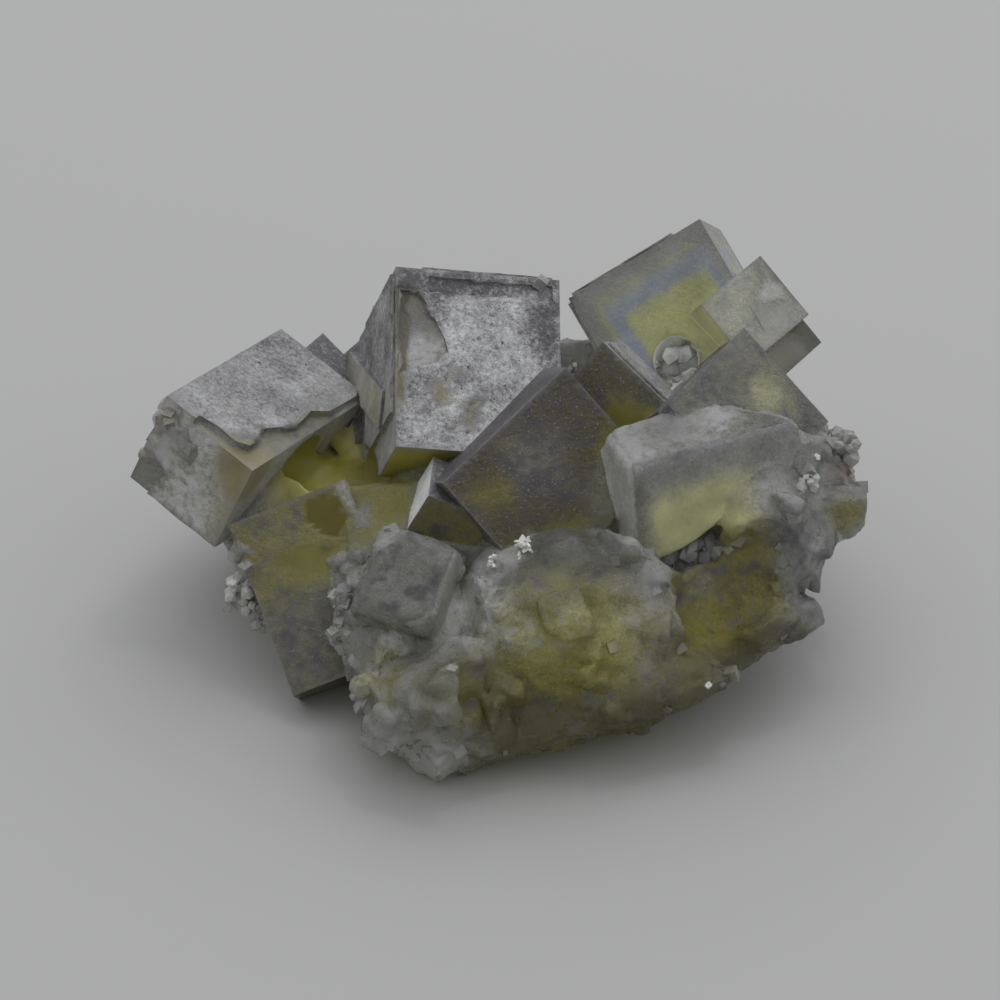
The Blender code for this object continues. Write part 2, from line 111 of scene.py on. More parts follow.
# A look: the body's colour, how much of it the skin covers, how pale the skin is and how clear
# the crystal is (each 0 to 1), and how far its relief rises, mm.
LOOKS = {
    "skin": ("smoke", 0.95, 0.5, 0.5, 0.02),
    "pale_skin": ("milk", 0.98, 0.69, 0.3, 0.03),
    "mid_skin": ("milk", 0.83, 0.64, 0.4, 0.03),
    "dark_skin": ("dark_granular", 0.9, 0.44, 0.4, 0.02),
    "mauve_skin": ("smoke", 1.0, 0.56, 0.4, 0.02),
    "shaded_skin": ("smoke", 1.0, 0.28, 0.4, 0.02),
    "hollow": ("hollow_straw", 0.1, 0.5, 0.3, 0.03),
    "hollow_side": ("deep_straw", 0.32, 0.5, 0.3, 0.1),
    # painted light: a paler look for sides that lie in shade
    "painted_light_side": ("milk", 0.3, 0.8, 0.3, 0.02),
    "grey_wall": ("granular", 0.3, 0.6, 0.1, 0.05),
    "slab": ("smoke", 0.5, 0.52, 0.5, 0.07),
    "deep_hollow": ("hollow_olive", 0.0, 0.5, 0.2, 0.04),
    "recess": ("recess_brown", 0.33, 0.4, 0.4, 0.2),
    "cloudy_top": ("dim_smoke", 0.62, 0.71, 0.35, 0.02),
    "prism": ("pale_granular", 0.45, 0.55, 0.5, 0.03),
    # painted light: a paler look for a wall deep in shade
    "painted_light_wall": ("milk", 0.35, 0.7, 0.2, 0.05),
    "grey_clear": ("dim_smoke", 0.25, 0.5, 0.5, 0.01),
    "white_face": ("milk", 1.0, 0.95, 0.3, 0.0),
    "granular": ("pale_granular", 0.5, 0.85, 0.4, 0.05),
    "drusy": ("drusy_olive", 0.36, 0.42, 0.5, 0.07),
    "pale_drusy": ("drusy_olive", 0.5, 0.6, 0.45, 0.05),
    "dark_granular": ("dark_granular", 0.44, 0.3, 0.45, 0.04),
    "glass_olive": ("deep_olive", 0.0, 0.4, 0.55, 0.02),
    "glass_dark": ("dark_glass", 0.0, 0.3, 0.6, 0.0),
    "smooth_grey": ("smoke", 0.3, 0.4, 0.75, 0.0),
    "glow_olive": ("straw", 0.32, 0.8, 0.5, 0.14),
    "dull_olive": ("deep_olive", 0.26, 0.45, 0.6, 0.12),
    "deep_base": ("deep_straw", 0.34, 0.42, 0.7, 0.15),
    "glow": ("pale_yellow", 0.1, 0.7, 0.25, 0.01),
    "window": ("olive", 0.0, 0.4, 0.2, 0.0),
    "terrace": ("granular", 0.6, 0.74, 0.3, 0.08),
    "ochre_glass": ("ochre", 0.0, 0.4, 0.3, 0.02),
    "crust": ("ochre", 0.62, 0.72, 0.3, 0.12),
    "stained": ("rust", 0.3, 0.4, 0.3, 0.05),
    "inked": ("ink", 0.0, 0.0, 0.0, 0.02),
    "clear": ("smoke", 0.2, 0.6, 0.6, 0.01),
    "very_clear": ("milk", 0.2, 0.7, 0.8, 0.0),
    "dim_clear": ("dim_smoke", 0.2, 0.5, 0.8, 0.0),
    "milky": ("milk", 0.5, 0.64, 0.8, 0.15),
    "smoky_base": ("dim_smoke", 0.4, 0.2, 0.8, 0.1),
    # pale, milky base, and painted light where it is laid over shade
    "pale_base_and_painted_light": ("milk", 0.6, 0.8, 0.7, 0.14),
    # painted light: grains painted paler where they lie in shade
    "painted_light_grain": ("milk", 0.1, 0.8, 0.3, 0.0),
    # white grains and painted light: white chips, painted highlights where the crystal glints, and
    # white laid where shade falls
    "white_grain_and_painted_light": ("white", 0.0, 1.0, 0.05, 0.0),
    "clear_grain": ("smoke", 0.1, 0.7, 0.6, 0.0),
    "rim_rock": ("granular", 0.3, 0.5, 0.4, 0.06),
    "rounded": ("smoke", 0.5, 0.46, 0.7, 0.1),
    "rock": ("milk", 0.6, 0.78, 0.6, 0.16),
    "translucent": ("smoke", 0.36, 0.6, 0.45, 0.02),
    "smoky_face": ("dim_smoke", 0.5, 0.4, 0.5, 0.03),
}

BASE_LOOK = "milky"
FACE_LOOK = "skin"
# Cubes and single faces with a look of their own. A face is named by its cube, the cube's own
# axis that it faces along (0 to 2) and which way it faces.
CUBE_LOOKS = {
    "clear_cube": "clear",
    "right_cube": "very_clear",
    "right_bud": "dim_clear",
    "front_left_cube": "rounded",
    "front_right_cube": "translucent",
    "lower_left_cube": "granular",
}
FACE_LOOKS = {
    ("left_cube", 2, 1): "mid_skin",
    ("left_cube", 1, -1): "granular",
    # painted light: this wall lies deep in shade between the left and centre cubes and is painted
    # paler
    ("left_cube", 0, 1): "painted_light_wall",
    ("left_cube", 2, -1): "granular",
    ("left_splinter", 2, 1): "dark_skin",
    ("splinter_toe", 0, 1): "grey_wall",
    ("centre_cube", 1, -1): "pale_skin",
    ("centre_cube", 0, -1): "mauve_skin",
    ("centre_cube", 2, -1): "deep_hollow",
    ("tilted_cube", 2, -1): "dark_granular",
    ("tilted_cube", 0, -1): "shaded_skin",
    ("inner_cube", 2, -1): "dark_granular",
    ("inner_cube", 1, -1): "mid_skin",
    # painted light: this side of the front right cube lies in shade and is painted paler
    ("front_right_cube", 0, -1): "painted_light_side",
    ("right_cube", 1, 1): "glow",
    ("right_shoulder", 2, -1): "smoky_face",
    ("lower_left_cube", 1, -1): "drusy",
    ("lower_left_cube", 2, -1): "glass_dark",
    ("front_right_cube", 2, 1): "cloudy_top",
    ("front_left_cube", 0, 1): "translucent",
    ("small_prism", 0, -1): "white_face",
    ("small_prism", 1, -1): "drusy",
    ("small_prism", 2, -1): "prism",
}

# Growth zones that show through the clear cube: how far in from an edge each colour lies, mm.
ZONES = [
    (0.0, "zone_grey"), (1.2, "zone_grey"), (1.6, "zone_straw"), (2.0, "blue_smoke"),
    (2.9, "blue_smoke"), (3.3, "yellow"),
]
# How many times closer together they lie at the low and high edges of the face's first axis,
# and then of its second one. 0: that edge has none.
ZONED_FACES = {
    ("clear_cube", 2, -1): (1.0, 0.0, 2.2, 1.1),
    ("clear_cube", 1, -1): (1.0, 1.0, 1.0, 1.0),
    ("clear_cube", 0, -1): (1.0, 1.0, 1.0, 1.0),
    ("clear_cube", 1, 1): (1.0, 1.0, 1.0, 1.0),
    ("clear_cube", 2, 1): (1.0, 1.0, 1.0, 1.0),
}
NO_ZONES = 1e3  # mm, further in than any zone lies

# Patches on a crystal face: the face, the look, how soft the patch's border is, mm, how
# strongly it shows, and its outline along the face's two axes.
PATCHES = [
    ("left_cube", 2, 1, "rim_rock", 0.15, 1.0,
     [(-1.4, -7.6), (-1.4, -6.5), (0.0, -6.2), (1.6, -6.3), (2.5, -5.7), (2.5, -4.8), (1.9, -3.4),
      (3.1, -0.6), (2.7, 1.6), (3.5, 3.0), (3.6, 7.6), (4.6, 7.6), (4.6, -7.6)]),
    ("left_cube", 1, -1, "smooth_grey", 0.15, 0.9,
     [(-4.8, -0.7), (-3.7, -0.1), (-1.6, -1.6), (-2.1, -3.5), (-2.6, -4.8), (-4.8, -4.8)]),
    ("left_cube", 1, -1, "ochre_glass", 0.8, 0.45,
     [(2.6, 4.4), (4.4, 4.4), (4.4, -3.0), (3.2, -3.0)]),
    ("centre_cube", 1, -1, "dark_skin", 0.4, 0.75,
     [(-5.7, 6.6), (-5.7, 4.6), (1.6, 4.9), (4.6, 5.9), (5.7, 6.0), (5.7, 6.6)]),
    ("centre_cube", 1, -1, "terrace", 0.3, 0.9,
     [(-5.5, 5.0), (-4.1, 4.9), (-3.0, 2.9), (-2.3, 1.5), (-2.1, 0.6), (-2.8, -0.2), (-4.8, -0.9),
      (-5.5, -1.2)]),
    ("centre_cube", 1, -1, "dark_granular", 0.6, 0.4,
     [(-5.5, 5.0), (-4.1, 4.9), (-3.3, 3.4), (-2.5, 2.0), (-5.5, 1.8)]),
    ("centre_cube", 1, -1, "glass_dark", 0.25, 0.9,
     [(-5.8, 5.4), (-4.9, 5.2), (-4.7, 2.6), (-4.9, 0.8), (-5.8, 0.6)]),
    ("centre_cube", 1, -1, "window", 0.3, 0.85,
     [(-5.8, 1.0), (-4.8, 0.8), (-5.0, -3.0), (-5.8, -4.5)]),
    ("centre_cube", 1, -1, "dark_skin", 0.8, 0.75,
     [(3.2, 4.6), (5.7, 4.8), (5.7, -1.2), (3.8, 0.2)]),
    ("tilted_cube", 2, -1, "glass_olive", 0.8, 0.5,
     [(1.0, 5.7), (4.9, 5.7), (4.9, 0.0), (2.4, 1.4)]),
    ("tilted_cube", 2, -1, "glass_olive", 0.7, 0.6,
     [(-0.4, -5.7), (1.4, -5.6), (2.0, -3.6), (0.6, -3.2)]),
    ("tilted_cube", 2, -1, "glass_olive", 0.9, 0.5,
     [(-3.6, 5.0), (-1.4, 5.2), (-0.8, 2.6), (-2.8, 2.2)]),
    ("tilted_cube", 2, -1, "mauve_skin", 1.0, 0.35,
     [(-4.0, 0.8), (-1.2, 2.2), (1.2, -0.6), (-2.0, -2.4)]),
    ("tilted_cube", 2, -1, "translucent", 1.0, 0.7,
     [(1.4, -3.4), (4.9, -5.2), (4.9, -0.4), (2.2, -1.0)]),
    ("tilted_cube", 2, -1, "pale_drusy", 1.2, 0.7,
     [(2.0, -6.0), (6.0, -6.0), (6.0, 6.0), (3.4, 6.0), (3.0, 1.0)]),
    ("inner_cube", 2, -1, "glass_olive", 0.8, 0.8,
     [(-1.6, -2.0), (1.2, -3.4), (4.6, -2.6), (4.6, 4.0), (-1.0, 4.0)]),
    ("lower_left_cube", 1, -1, "window", 0.15, 1.0,
     [(0.8, 5.9), (4.2, 5.6), (3.4, 3.4), (2.4, 2.7), (1.4, 3.1), (0.6, 4.7)]),
    ("lower_left_cube", 1, -1, "smoky_face", 1.2, 0.85,
     [(-5.0, 0.0), (5.0, 0.5), (5.0, -6.3), (-5.0, -6.3)]),
    ("lower_left_cube", 1, -1, "granular", 0.25, 0.8,
     [(3.4, 6.3), (4.4, 6.3), (4.4, 1.6), (3.6, 1.6), (3.9, 3.4)]),
    ("lower_left_cube", 1, -1, "window", 0.5, 0.7,
     [(0.2, 3.0), (2.2, 2.2), (2.9, 0.8), (1.0, 0.2), (-1.4, 1.4), (-2.6, 2.8)]),
    ("right_cube", 2, -1, "prism", 0.8, 0.7,
     [(-2.6, -3.0), (-2.6, 3.0), (2.6, 3.0), (1.3, 1.1)]),
    ("right_cube", 2, -1, "grey_clear", 0.12, 0.9,
     [(-2.6, -2.9), (-2.4, -3.0), (-0.6, -1.0), (0.9, 0.5), (1.5, 1.2), (1.4, 1.4), (0.4, 0.4)]),
    ("right_cube", 2, -1, "grey_clear", 0.1, 0.7,
     [(0.9, 0.5), (2.6, -1.4), (2.6, -1.2), (1.0, 0.75)]),
    ("right_cube", 2, -1, "white_face", 0.3, 0.5,
     [(-1.6, -2.6), (0.6, -2.4), (0.2, -0.9), (-0.4, -1.0)]),
    ("splinter_toe", 0, 1, "glass_olive", 0.6, 0.25,
     [(-7.4, 1.4), (-7.4, -1.4), (-3.8, -1.4), (-4.4, 1.4)]),
    ("centre_cube", 0, -1, "grey_wall", 0.9, 0.7,
     [(-7.0, -0.6), (7.0, -1.2), (7.0, -6.6), (-7.0, -6.6)]),
    ("front_right_cube", 1, -1, "glow", 1.3, 0.9,
     [(-5.2, 0.6), (-3.0, 1.6), (0.6, 1.7), (2.8, 1.0), (3.4, -0.6), (2.4, -3.0), (-2.0, -3.8),
      (-5.2, -4.6)]),
    ("front_right_cube", 2, 1, "dim_clear", 1.4, 0.7,
     [(2.0, -2.6), (6.2, -2.6), (6.2, 2.6), (3.4, 2.6)]),
    ("front_right_cube", 1, -1, "smoky_face", 0.9, 0.7,
     [(-6.1, 3.0), (-5.3, 3.0), (-4.9, 0.4), (-5.2, -4.6), (-6.1, -4.6)]),
    ("front_right_cube", 1, -1, "pale_skin", 0.5, 0.7,
     [(-6.1, 4.6), (-6.1, 3.4), (-1.0, 3.6), (3.0, 4.0), (6.1, 4.0), (6.1, 4.6)]),
]

# Spots: middle, half size, how soft the border is, mm, look, how strongly it shows, and what
# it shows on: the broken base, everything, or one cube.
SPOTS = [
    # the broken base, from large areas to small ones
    ((2.0, 17.0, 5.0), (26.0, 9.0, 9.0), 4.0, "rock", 0.9, "base"),
    ((19.0, -1.0, 10.0), (6.0, 5.5, 6.5), 2.0, "slab", 0.8, "base"),
    ((6.0, -14.4, 4.0), (10.5, 4.6, 3.6), 1.6, "deep_base", 0.9, "base"),
    ((3.0, -4.0, 0.0), (26.0, 22.0, 2.2), 1.5, "deep_base", 0.6, "base"),
    ((-10.5, 6.0, 9.6), (6.0, 6.0, 4.6), 0.8, "hollow", 1.0, "base"),
    ((-12.6, 5.4, 9.4), (4.4, 4.6, 2.6), 1.2, "deep_hollow", 1.0, "base"),
    ((-8.0, -1.0, 11.5), (3.2, 3.0, 3.0), 1.0, "glass_olive", 0.9, "base"),
    ((-9.4, 3.0, 10.8), (3.4, 5.5, 3.0), 1.0, "hollow_side", 0.5, "base"),
    ((4.6, -9.4, 13.2), (5.0, 3.2, 2.2), 1.0, "smoky_base", 0.95, "base"),
    # painted light: paler in the shaded gap beside the front left cube
    ((-2.0, -10.0, 9.6), (3.0, 3.0, 2.6), 1.2, "pale_base_and_painted_light", 1.0, "base"),
    ((9.6, -11.0, 9.4), (3.6, 3.6, 3.0), 1.4, "pale_base_and_painted_light", 0.25, "base"),
    ((-1.0, -15.4, 7.0), (3.0, 2.4, 2.4), 1.0, "deep_base", 0.7, "base"),
    ((4.8, -12.2, 9.4), (5.0, 4.0, 3.2), 1.6, "glow_olive", 0.95, "base"),
    ((4.4, -11.4, 11.2), (3.0, 3.0, 1.1), 0.8, "dull_olive", 0.8, "base"),
    ((4.2, -13.2, 7.6), (5.0, 3.4, 1.9), 1.1, "dull_olive", 0.9, "base"),
    ((14.8, -6.2, 8.8), (4.8, 5.0, 5.2), 1.2, "recess", 0.95, "base"),
    ((17.4, -10.4, 6.0), (4.5, 3.2, 3.5), 1.4, "deep_base", 0.7, "base"),
    ((20.8, -5.4, 10.4), (2.2, 2.8, 3.8), 0.8, "slab", 0.95, "base"),
    # painted light: white in the shaded cavity under the front right cube
    ((12.6, 0.2, 8.4), (4.6, 4.4, 3.2), 0.8, "white_grain_and_painted_light", 1.0, "base"),
    ((16.0, -4.6, 14.4), (2.0, 1.8, 1.8), 0.8, "glow", 0.8, "base"),
    ((18.4, -4.4, 15.2), (2.0, 1.6, 1.2), 0.8, "pale_base_and_painted_light", 0.7, "base"),
    ((10.3, -7.0, 11.9), (1.6, 1.6, 1.4), 0.8, "pale_base_and_painted_light", 0.8, "base"),
    ((-3.8, -16.0, 7.6), (2.2, 2.2, 1.9), 1.0, "deep_base", 0.7, "base"),
    # painted light: paler around the white flakes that stand in for a glint
    ((0.4, -7.4, 12.0), (1.9, 1.3, 1.4), 0.7, "pale_base_and_painted_light", 0.9, "base"),
    # painted light: paler where shade falls beside the front right cube
    ((9.0, -6.6, 12.6), (2.2, 2.2, 1.8), 0.8, "pale_base_and_painted_light", 1.0, "base"),
    ((4.5, -12.6, 12.2), (2.4, 1.6, 1.3), 0.8, "deep_base", 0.35, "base"),
    ((10.5, -11.9, 10.1), (2.0, 1.8, 1.6), 1.0, "dull_olive", 0.5, "base"),
    # painted light: paler in the shaded gap beside the front left cube
    ((-2.0, -9.2, 9.8), (1.2, 1.8, 2.2), 0.8, "painted_light_side", 0.9, "base"),
    ((-5.4, -16.6, 2.2), (3.0, 2.6, 2.6), 1.0, "pale_base_and_painted_light", 0.9, "base"),
    ((-1.8, -16.6, 7.4), (2.2, 2.0, 2.0), 1.2, "dull_olive", 0.5, "base"),
    # painted light: paler where the front left cube casts its shadow
    ((-7.2, -12.4, 8.8), (1.6, 1.6, 1.6), 0.9, "pale_base_and_painted_light", 0.9, "base"),
    ((-6.8, -14.8, 6.2), (2.2, 2.0, 1.8), 1.0, "dull_olive", 0.45, "base"),
    ((12.2, -11.8, 6.8), (2.4, 2.2, 1.9), 1.0, "deep_base", 0.7, "base"),
    ((11.6, -12.0, 6.6), (2.8, 2.4, 2.6), 1.2, "dull_olive", 0.3, "base"),
    ((12.6, -5.4, 8.2), (1.7, 2.0, 1.6), 0.9, "pale_base_and_painted_light", 0.7, "base"),
    ((23.0, -1.0, 14.0), (2.4, 3.6, 2.2), 1.0, "slab", 0.9, "base"),
    ((13.6, -8.6, 7.6), (2.2, 2.2, 2.4), 1.2, "dull_olive", 0.9, "base"),
    ((-8.6, -13.6, 7.5), (2.4, 2.4, 1.6), 0.8, "glow_olive", 0.6, "base"),
    ((-7.4, -1.4, 12.5), (1.5, 1.3, 1.1), 0.8, "dull_olive", 0.8, "base"),
    ((-9.3, -1.6, 11.2), (0.7, 1.0, 1.1), 0.5, "pale_base_and_painted_light", 0.55, "base"),
    ((5.2, -13.9, 11.6), (1.6, 1.2, 1.4), 0.8, "glow_olive", 0.6, "base"),
    ((23.6, -3.9, 12.3), (0.8, 0.9, 0.7), 0.4, "slab", 0.8, "base"),
    ((-5.3, -16.4, 2.4), (3.2, 2.6, 3.0), 1.0, "pale_base_and_painted_light", 0.8, "base"),
    ((-23.2, 4.2, 14.6), (2.8, 2.4, 2.6), 1.0, "crust", 0.9, "all"),
    ((21.8, 1.6, 13.4), (1.9, 2.4, 1.8), 0.6, "clear", 0.9, "base"),
    ((23.8, 2.0, 12.6), (0.9, 1.2, 1.2), 0.6, "stained", 0.8, "all"),
    # painted light: paler in the shaded pocket beside the clear cube
    ((12.2, 7.0, 18.0), (3.4, 3.4, 3.0), 0.6, "white_grain_and_painted_light", 0.7, "base"),
    ((-17.4, -2.0, 6.0), (2.2, 3.0, 2.6), 0.8, "clear", 0.9, "base"),
    ((23.2, -3.4, 12.9), (1.6, 1.4, 1.2), 0.6, "dull_olive", 0.8, "base"),
    ((23.4, 0.4, 13.7), (1.4, 1.4, 1.0), 0.7, "stained", 0.6, "base"),
    # the crystals
    ((-2.0, 1.5, 17.7), (0.55, 0.75, 0.75), 0.25, "ochre_glass", 0.85, "centre_cube"),
    ((-1.3, 2.3, 18.1), (0.5, 0.55, 0.5), 0.25, "ochre_glass", 0.75, "centre_cube"),
    ((-2.3, 0.7, 17.1), (0.8, 0.4, 0.35), 0.2, "ochre_glass", 0.7, "centre_cube"),
    ((-3.0, 3.6, 19.6), (0.45, 0.6, 0.5), 0.25, "ochre_glass", 0.6, "centre_cube"),
    ((-4.4, 2.6, 19.2), (0.6, 0.45, 0.4), 0.25, "ochre_glass", 0.7, "centre_cube"),
    ((-3.9, 1.9, 18.6), (0.45, 0.7, 0.6), 0.25, "ochre_glass", 0.75, "centre_cube"),
    ((-5.0, 1.4, 18.0), (0.5, 0.4, 0.35), 0.2, "ochre_glass", 0.7, "centre_cube"),
    ((17.9, 2.7, 18.2), (1.6, 1.6, 1.6), 1.5, "glow", 0.55, "right_shoulder"),
    ((-12.3, 12.5, 13.8), (0.3, 0.3, 0.3), 0.3, "dark_skin", 0.8, "left_cube"),
    ((-16.4, 12.9, 15.6), (3.6, 1.6, 1.4), 1.2, "dark_skin", 0.5, "left_cube"),
    ((-13.6, 14.4, 14.8), (1.8, 1.2, 1.2), 0.9, "dark_skin", 0.45, "left_cube"),
    # painted light: white on the shaded inner wall between the left and centre cubes
    ((-10.9, 10.5, 10.6), (1.6, 3.4, 2.2), 0.6, "white_grain_and_painted_light", 0.8, "left_cube"),
    ((-17.0, 0.9, 13.4), (2.2, 2.0, 2.8), 0.9, "ochre_glass", 0.8, "left_cube"),
    ((-12.6, -3.0, 8.4), (2.0, 1.6, 1.4), 0.8, "glass_olive", 0.5, "lower_left_cube"),
    ((-11.8, -2.7, 9.4), (0.35, 0.35, 0.25), 0.25, "inked", 0.9, "lower_left_cube"),
    ((20.4, 7.8, 21.1), (1.9, 1.6, 1.6), 0.8, "translucent", 0.5, "right_cube"),
    ((10.9, -2.3, 18.8), (2.2, 2.2, 1.0), 1.2, "smoky_face", 0.5, "front_right_cube"),
]

# Where small crystals crowd on the broken base: middle, half size, mm, and how densely.
DRUSE = [
    ((-17.0, -3.0, 5.4), (2.8, 2.6, 3.0), 1.0),
    ((-10.8, -7.4, 8.4), (1.7, 2.2, 3.6), 1.0),
    ((-10.4, -12.5, 4.6), (2.2, 3.4, 4.0), 0.6),
    ((-5.3, -16.0, 2.2), (3.4, 2.6, 2.4), 0.5),
    ((14.6, -12.4, 6.2), (2.2, 1.8, 2.4), 0.6),
    ((22.6, 1.4, 13.2), (2.6, 3.0, 2.6), 1.0),
    ((12.2, 8.0, 18.0), (3.2, 2.6, 2.4), 1.0),
    ((19.6, -3.0, 11.6), (4.0, 3.0, 4.0), 0.35),
]
DRUSE_EVERYWHERE = 0.05  # how densely on the rest of the rough base
DRUSE_SOFT = 0.8  # mm, how gradually it thins out
DRUSE_DENSITY = 1.1  # crystals on each mm2 where they crowd
DRUSE_SIZES = (0.25, 0.85)  # mm across
DRUSE_TILT = 0.7  # radians away from the surface
DRUSE_SUNK = 0.3  # how deep each sits, as a share of its size
DRUSE_LOWEST = 1.2  # mm above what the specimen stands on
DRUSE_SEED = 4
DRUSE_PALENESS = 0.5  # how far their colour goes from what they grow on to clear
BARE_SKIN = 0.3  # where less of the surface is covered, it is too glassy for druse

FLAKE = (0.12, 0.42)  # mm, the smallest and largest white flake: mostly painted highlights, some white chips
# Clusters of flakes and grains: middle, half size, how many, their sizes in mm and their look.
# The white flakes are painted highlights where the crystal glints, and some white chips; the pale
# grains are painted paler where they lie in shade.
GLINTS = [
    ((1.5, -7.5, 12.7), (0.5, 0.4, 0.95), 40, FLAKE, "white_grain_and_painted_light"),
    ((-0.4, -7.6, 11.8), (0.3, 0.3, 0.3), 7, FLAKE, "white_grain_and_painted_light"),
    ((5.0, 9.2, 16.2), (0.35, 0.2, 0.3), 7, FLAKE, "white_grain_and_painted_light"),
    ((13.8, -13.4, 6.2), (0.2, 0.2, 0.4), 5, FLAKE, "white_grain_and_painted_light"),
    ((11.8, 8.3, 19.2), (0.2, 0.2, 0.2), 4, FLAKE, "white_grain_and_painted_light"),
    ((20.5, -2.4, 14.7), (0.3, 0.3, 0.5), 6, FLAKE, "white_grain_and_painted_light"),
    ((21.0, -1.6, 16.3), (0.25, 0.25, 0.3), 3, FLAKE, "white_grain_and_painted_light"),
    ((-17.6, -2.6, 6.0), (0.8, 0.8, 1.3), 8, (0.6, 1.5), "clear_grain"),
    # painted light: pale grains where the druse lies in shade
    ((-17.6, -2.8, 6.0), (0.9, 0.8, 1.3), 22, (0.4, 1.3), "painted_light_grain"),
    ((-16.2, -3.6, 4.4), (0.6, 0.6, 0.8), 8, (0.6, 1.2), "clear_grain"),
    ((23.2, 1.9, 14.6), (0.8, 1.1, 0.8), 30, (0.6, 1.4), "clear_grain"),
    # painted light: pale grains in the shaded pocket
    ((12.2, 7.3, 18.0), (0.9, 0.4, 0.8), 16, (0.9, 1.7), "painted_light_grain"),
    ((12.9, -3.5, 9.6), (2.4, 0.8, 1.0), 80, (0.8, 1.8), "clear_grain"),
    # painted light: pale grains over a crack in deep shade
    ((20.6, -2.4, 14.5), (0.8, 0.5, 0.7), 14, (0.5, 1.1), "painted_light_grain"),
]
GLINT_SEED = 8
FLAKE_THICKNESS = 0.4  # share of its size
FLAKE_SPREAD = (0.7, 1.2)  # how far its corners stray, as a share of its size
GRAIN_THICKNESS = 0.8
GRAIN_SPREAD = (0.75, 1.25)

RUFFLE_SIZE = 0.9  # mm, how large the waves are that make painted borders uneven
RUFFLE = 0.35  # mm, how far they move a border
RUFFLE_SEED = 5  # the same waves in every run
RIM_WIDTH = 0.2  # mm, how far the paler line reaches in from a crystal's edge
RELIEF_WAVES = ((1.5, 1.0), (0.65, 0.6), (0.36, 0.35))  # size in mm, share of the relief
CRUMB_CELLS = ((2.3, 0.8), (1.1, 0.9))  # facets of the broken base: size in mm, share
SMOOTHEST_CRUMB = 0.08  # relief above this is made of facets
CRUMB_FULL = 0.22  # the relief beyond it at which the facets stand out fully
CRUMB_SHUFFLE = 7.3  # draws neighbouring facets' tilts from places far apart
BASE_WEAR = 4  # rounds of smoothing of the broken base
GLASSY_WEAR = 24  # more rounds, where it is smooth and glassy
GLASSY_RELIEF = 0.05  # mm, relief below which it counts as glassy
WORN_CUBES = {"front_left_cube": 45, "front_right_cube": 9}  # rounds for soft-edged cubes

FACE_REACH = 0.55  # mm, how far off its plane a triangle still belongs to a crystal face
FACE_MARGIN = 0.1  # mm, how far past the face's edges
FACE_FACING = 0.96  # cosine of the most that it may be turned away

MERGED = 2e-6  # m, corners closer than this are one
CELL = 0.55  # mm, the longest edge that is left uncut in the fine mesh
CELL_ROUNDS = 7
LONGEST_SHARE = 0.85  # an edge is cut only where it is nearly its triangles' longest
FLAT_ANGLE = 0.02  # radians, below which two triangles count as flat
FLAT_ROUNDS = 3  # rounds that even out the cells on flat faces
CREASE_ANGLE = 28.0  # degrees, above which an edge shows as sharp

# The finish's noises: the size of their waves in mm, their detail and their roughness.
NOISES = {
    "clouds": (2.5, 3.0, 0.5),
    "veil": (1.667, 4.0, 0.55),
    "broken": (0.6667, 3.0, 0.5),
    "scratched": (0.7692, 6.0, 0.75),
    "hammered": (0.3333, 5.0, 0.72),
    "fine": (0.1111, 3.0, 0.7),
}
# Shares of them that make the skin's patches, and the grain of the skin and of the body. Taking
# off their means leaves grain about as much lighter as darker.
SKIN_PATCHES = {"veil": 1.1, "broken": 0.9}
BARE_BELOW = 1.25
COVERED_ABOVE = 1.75
SKIN_GRAIN = {"fine": 0.45, "hammered": 0.95, "clouds": 0.6}
SKIN_MEAN = 0.99
SCRATCHED = -0.4  # how far a scratch darkens the skin
SKIN_TONES = [(0.0, "#3c3939"), (0.5, "#716e72"), (1.0, "#a8a4a9")]  # from pits to crust
DARK_CLOUD = 0.78  # shares of the body's colour
PALE_CLOUD = 1.16
BODY_GRAIN = {"fine": 1.5, "hammered": 1.7}
BODY_MEAN = 1.6
DARKEST_GRIT = 0.66
FLECK_CELL = 0.1786  # mm from one place for a bright fleck to the next
FLECK_EDGE = 0.34  # how far from its middle it ends, and where it is full, as shares of that
FLECK_CORE = 0.2
FLECKLESS = 0.76  # share of the places that have none
FLECK_STRENGTH = 0.75
FLECK_COLOUR = "#b5b2b0"
RIM_COLOUR = "#9c999d"
THROUGH_SKIN = 0.6  # share of the light that a skin lets pass
GLOSSY_GLASS = 0.1  # roughness of clear glass, of cloudy glass and of skin
DULL_GLASS = 0.38
SKIN_ROUGHNESS = 0.5
BUMP_GRAIN = {"fine": 0.3}  # on top of the hammered noise
BUMP_STRENGTH = 0.8
BUMP_DEPTH = 0.3  # mm
SMOOTH_BUMP = 0.1  # share of it that is left where nothing is gritty
FLUORITE_IOR = 1.434
DEPTH_COLOUR = "#dad870"  # olive, which deepens with the way that light takes inside
DEPTH_DENSITY = 45.0  # per metre
MIX_FROM, MIX_TO, MIXED = 6, 7, 2  # a Mix node's sockets for colours, whose names repeat

# The studio. Lamps: where they are and how wide, m, and their power, W.
LAMPS = [("window", (0.08, 0.26, 0.42), 0.4, 0.5), ("spark", (0.10, 0.10, 0.45), 0.03, 0.08)]
SKY_WAY = (0.1, 0.45, 0.88)  # where the soft surroundings are brightest
DIM_SKY = 0.4
BRIGHT_SKY = 1.2
SKY_COLOUR = "#f8fafc"
FLOOR_COLOUR = "#a5a5a3"
FLOOR_ROUGHNESS = 0.7
FLOOR_HALF = 0.6  # m
AIM = (0.0, 0.0, 11.6)  # mm, what the camera looks at
CAMERA_ANGLE = 34.0  # degrees above the floor
CAMERA_DISTANCE = 260.0  # mm
VIEW_WIDTH = 67.75  # mm, what the view's width spans at AIM
SENSOR_WIDTH = 36.0  # mm
NEAREST_SEEN = 0.005  # m


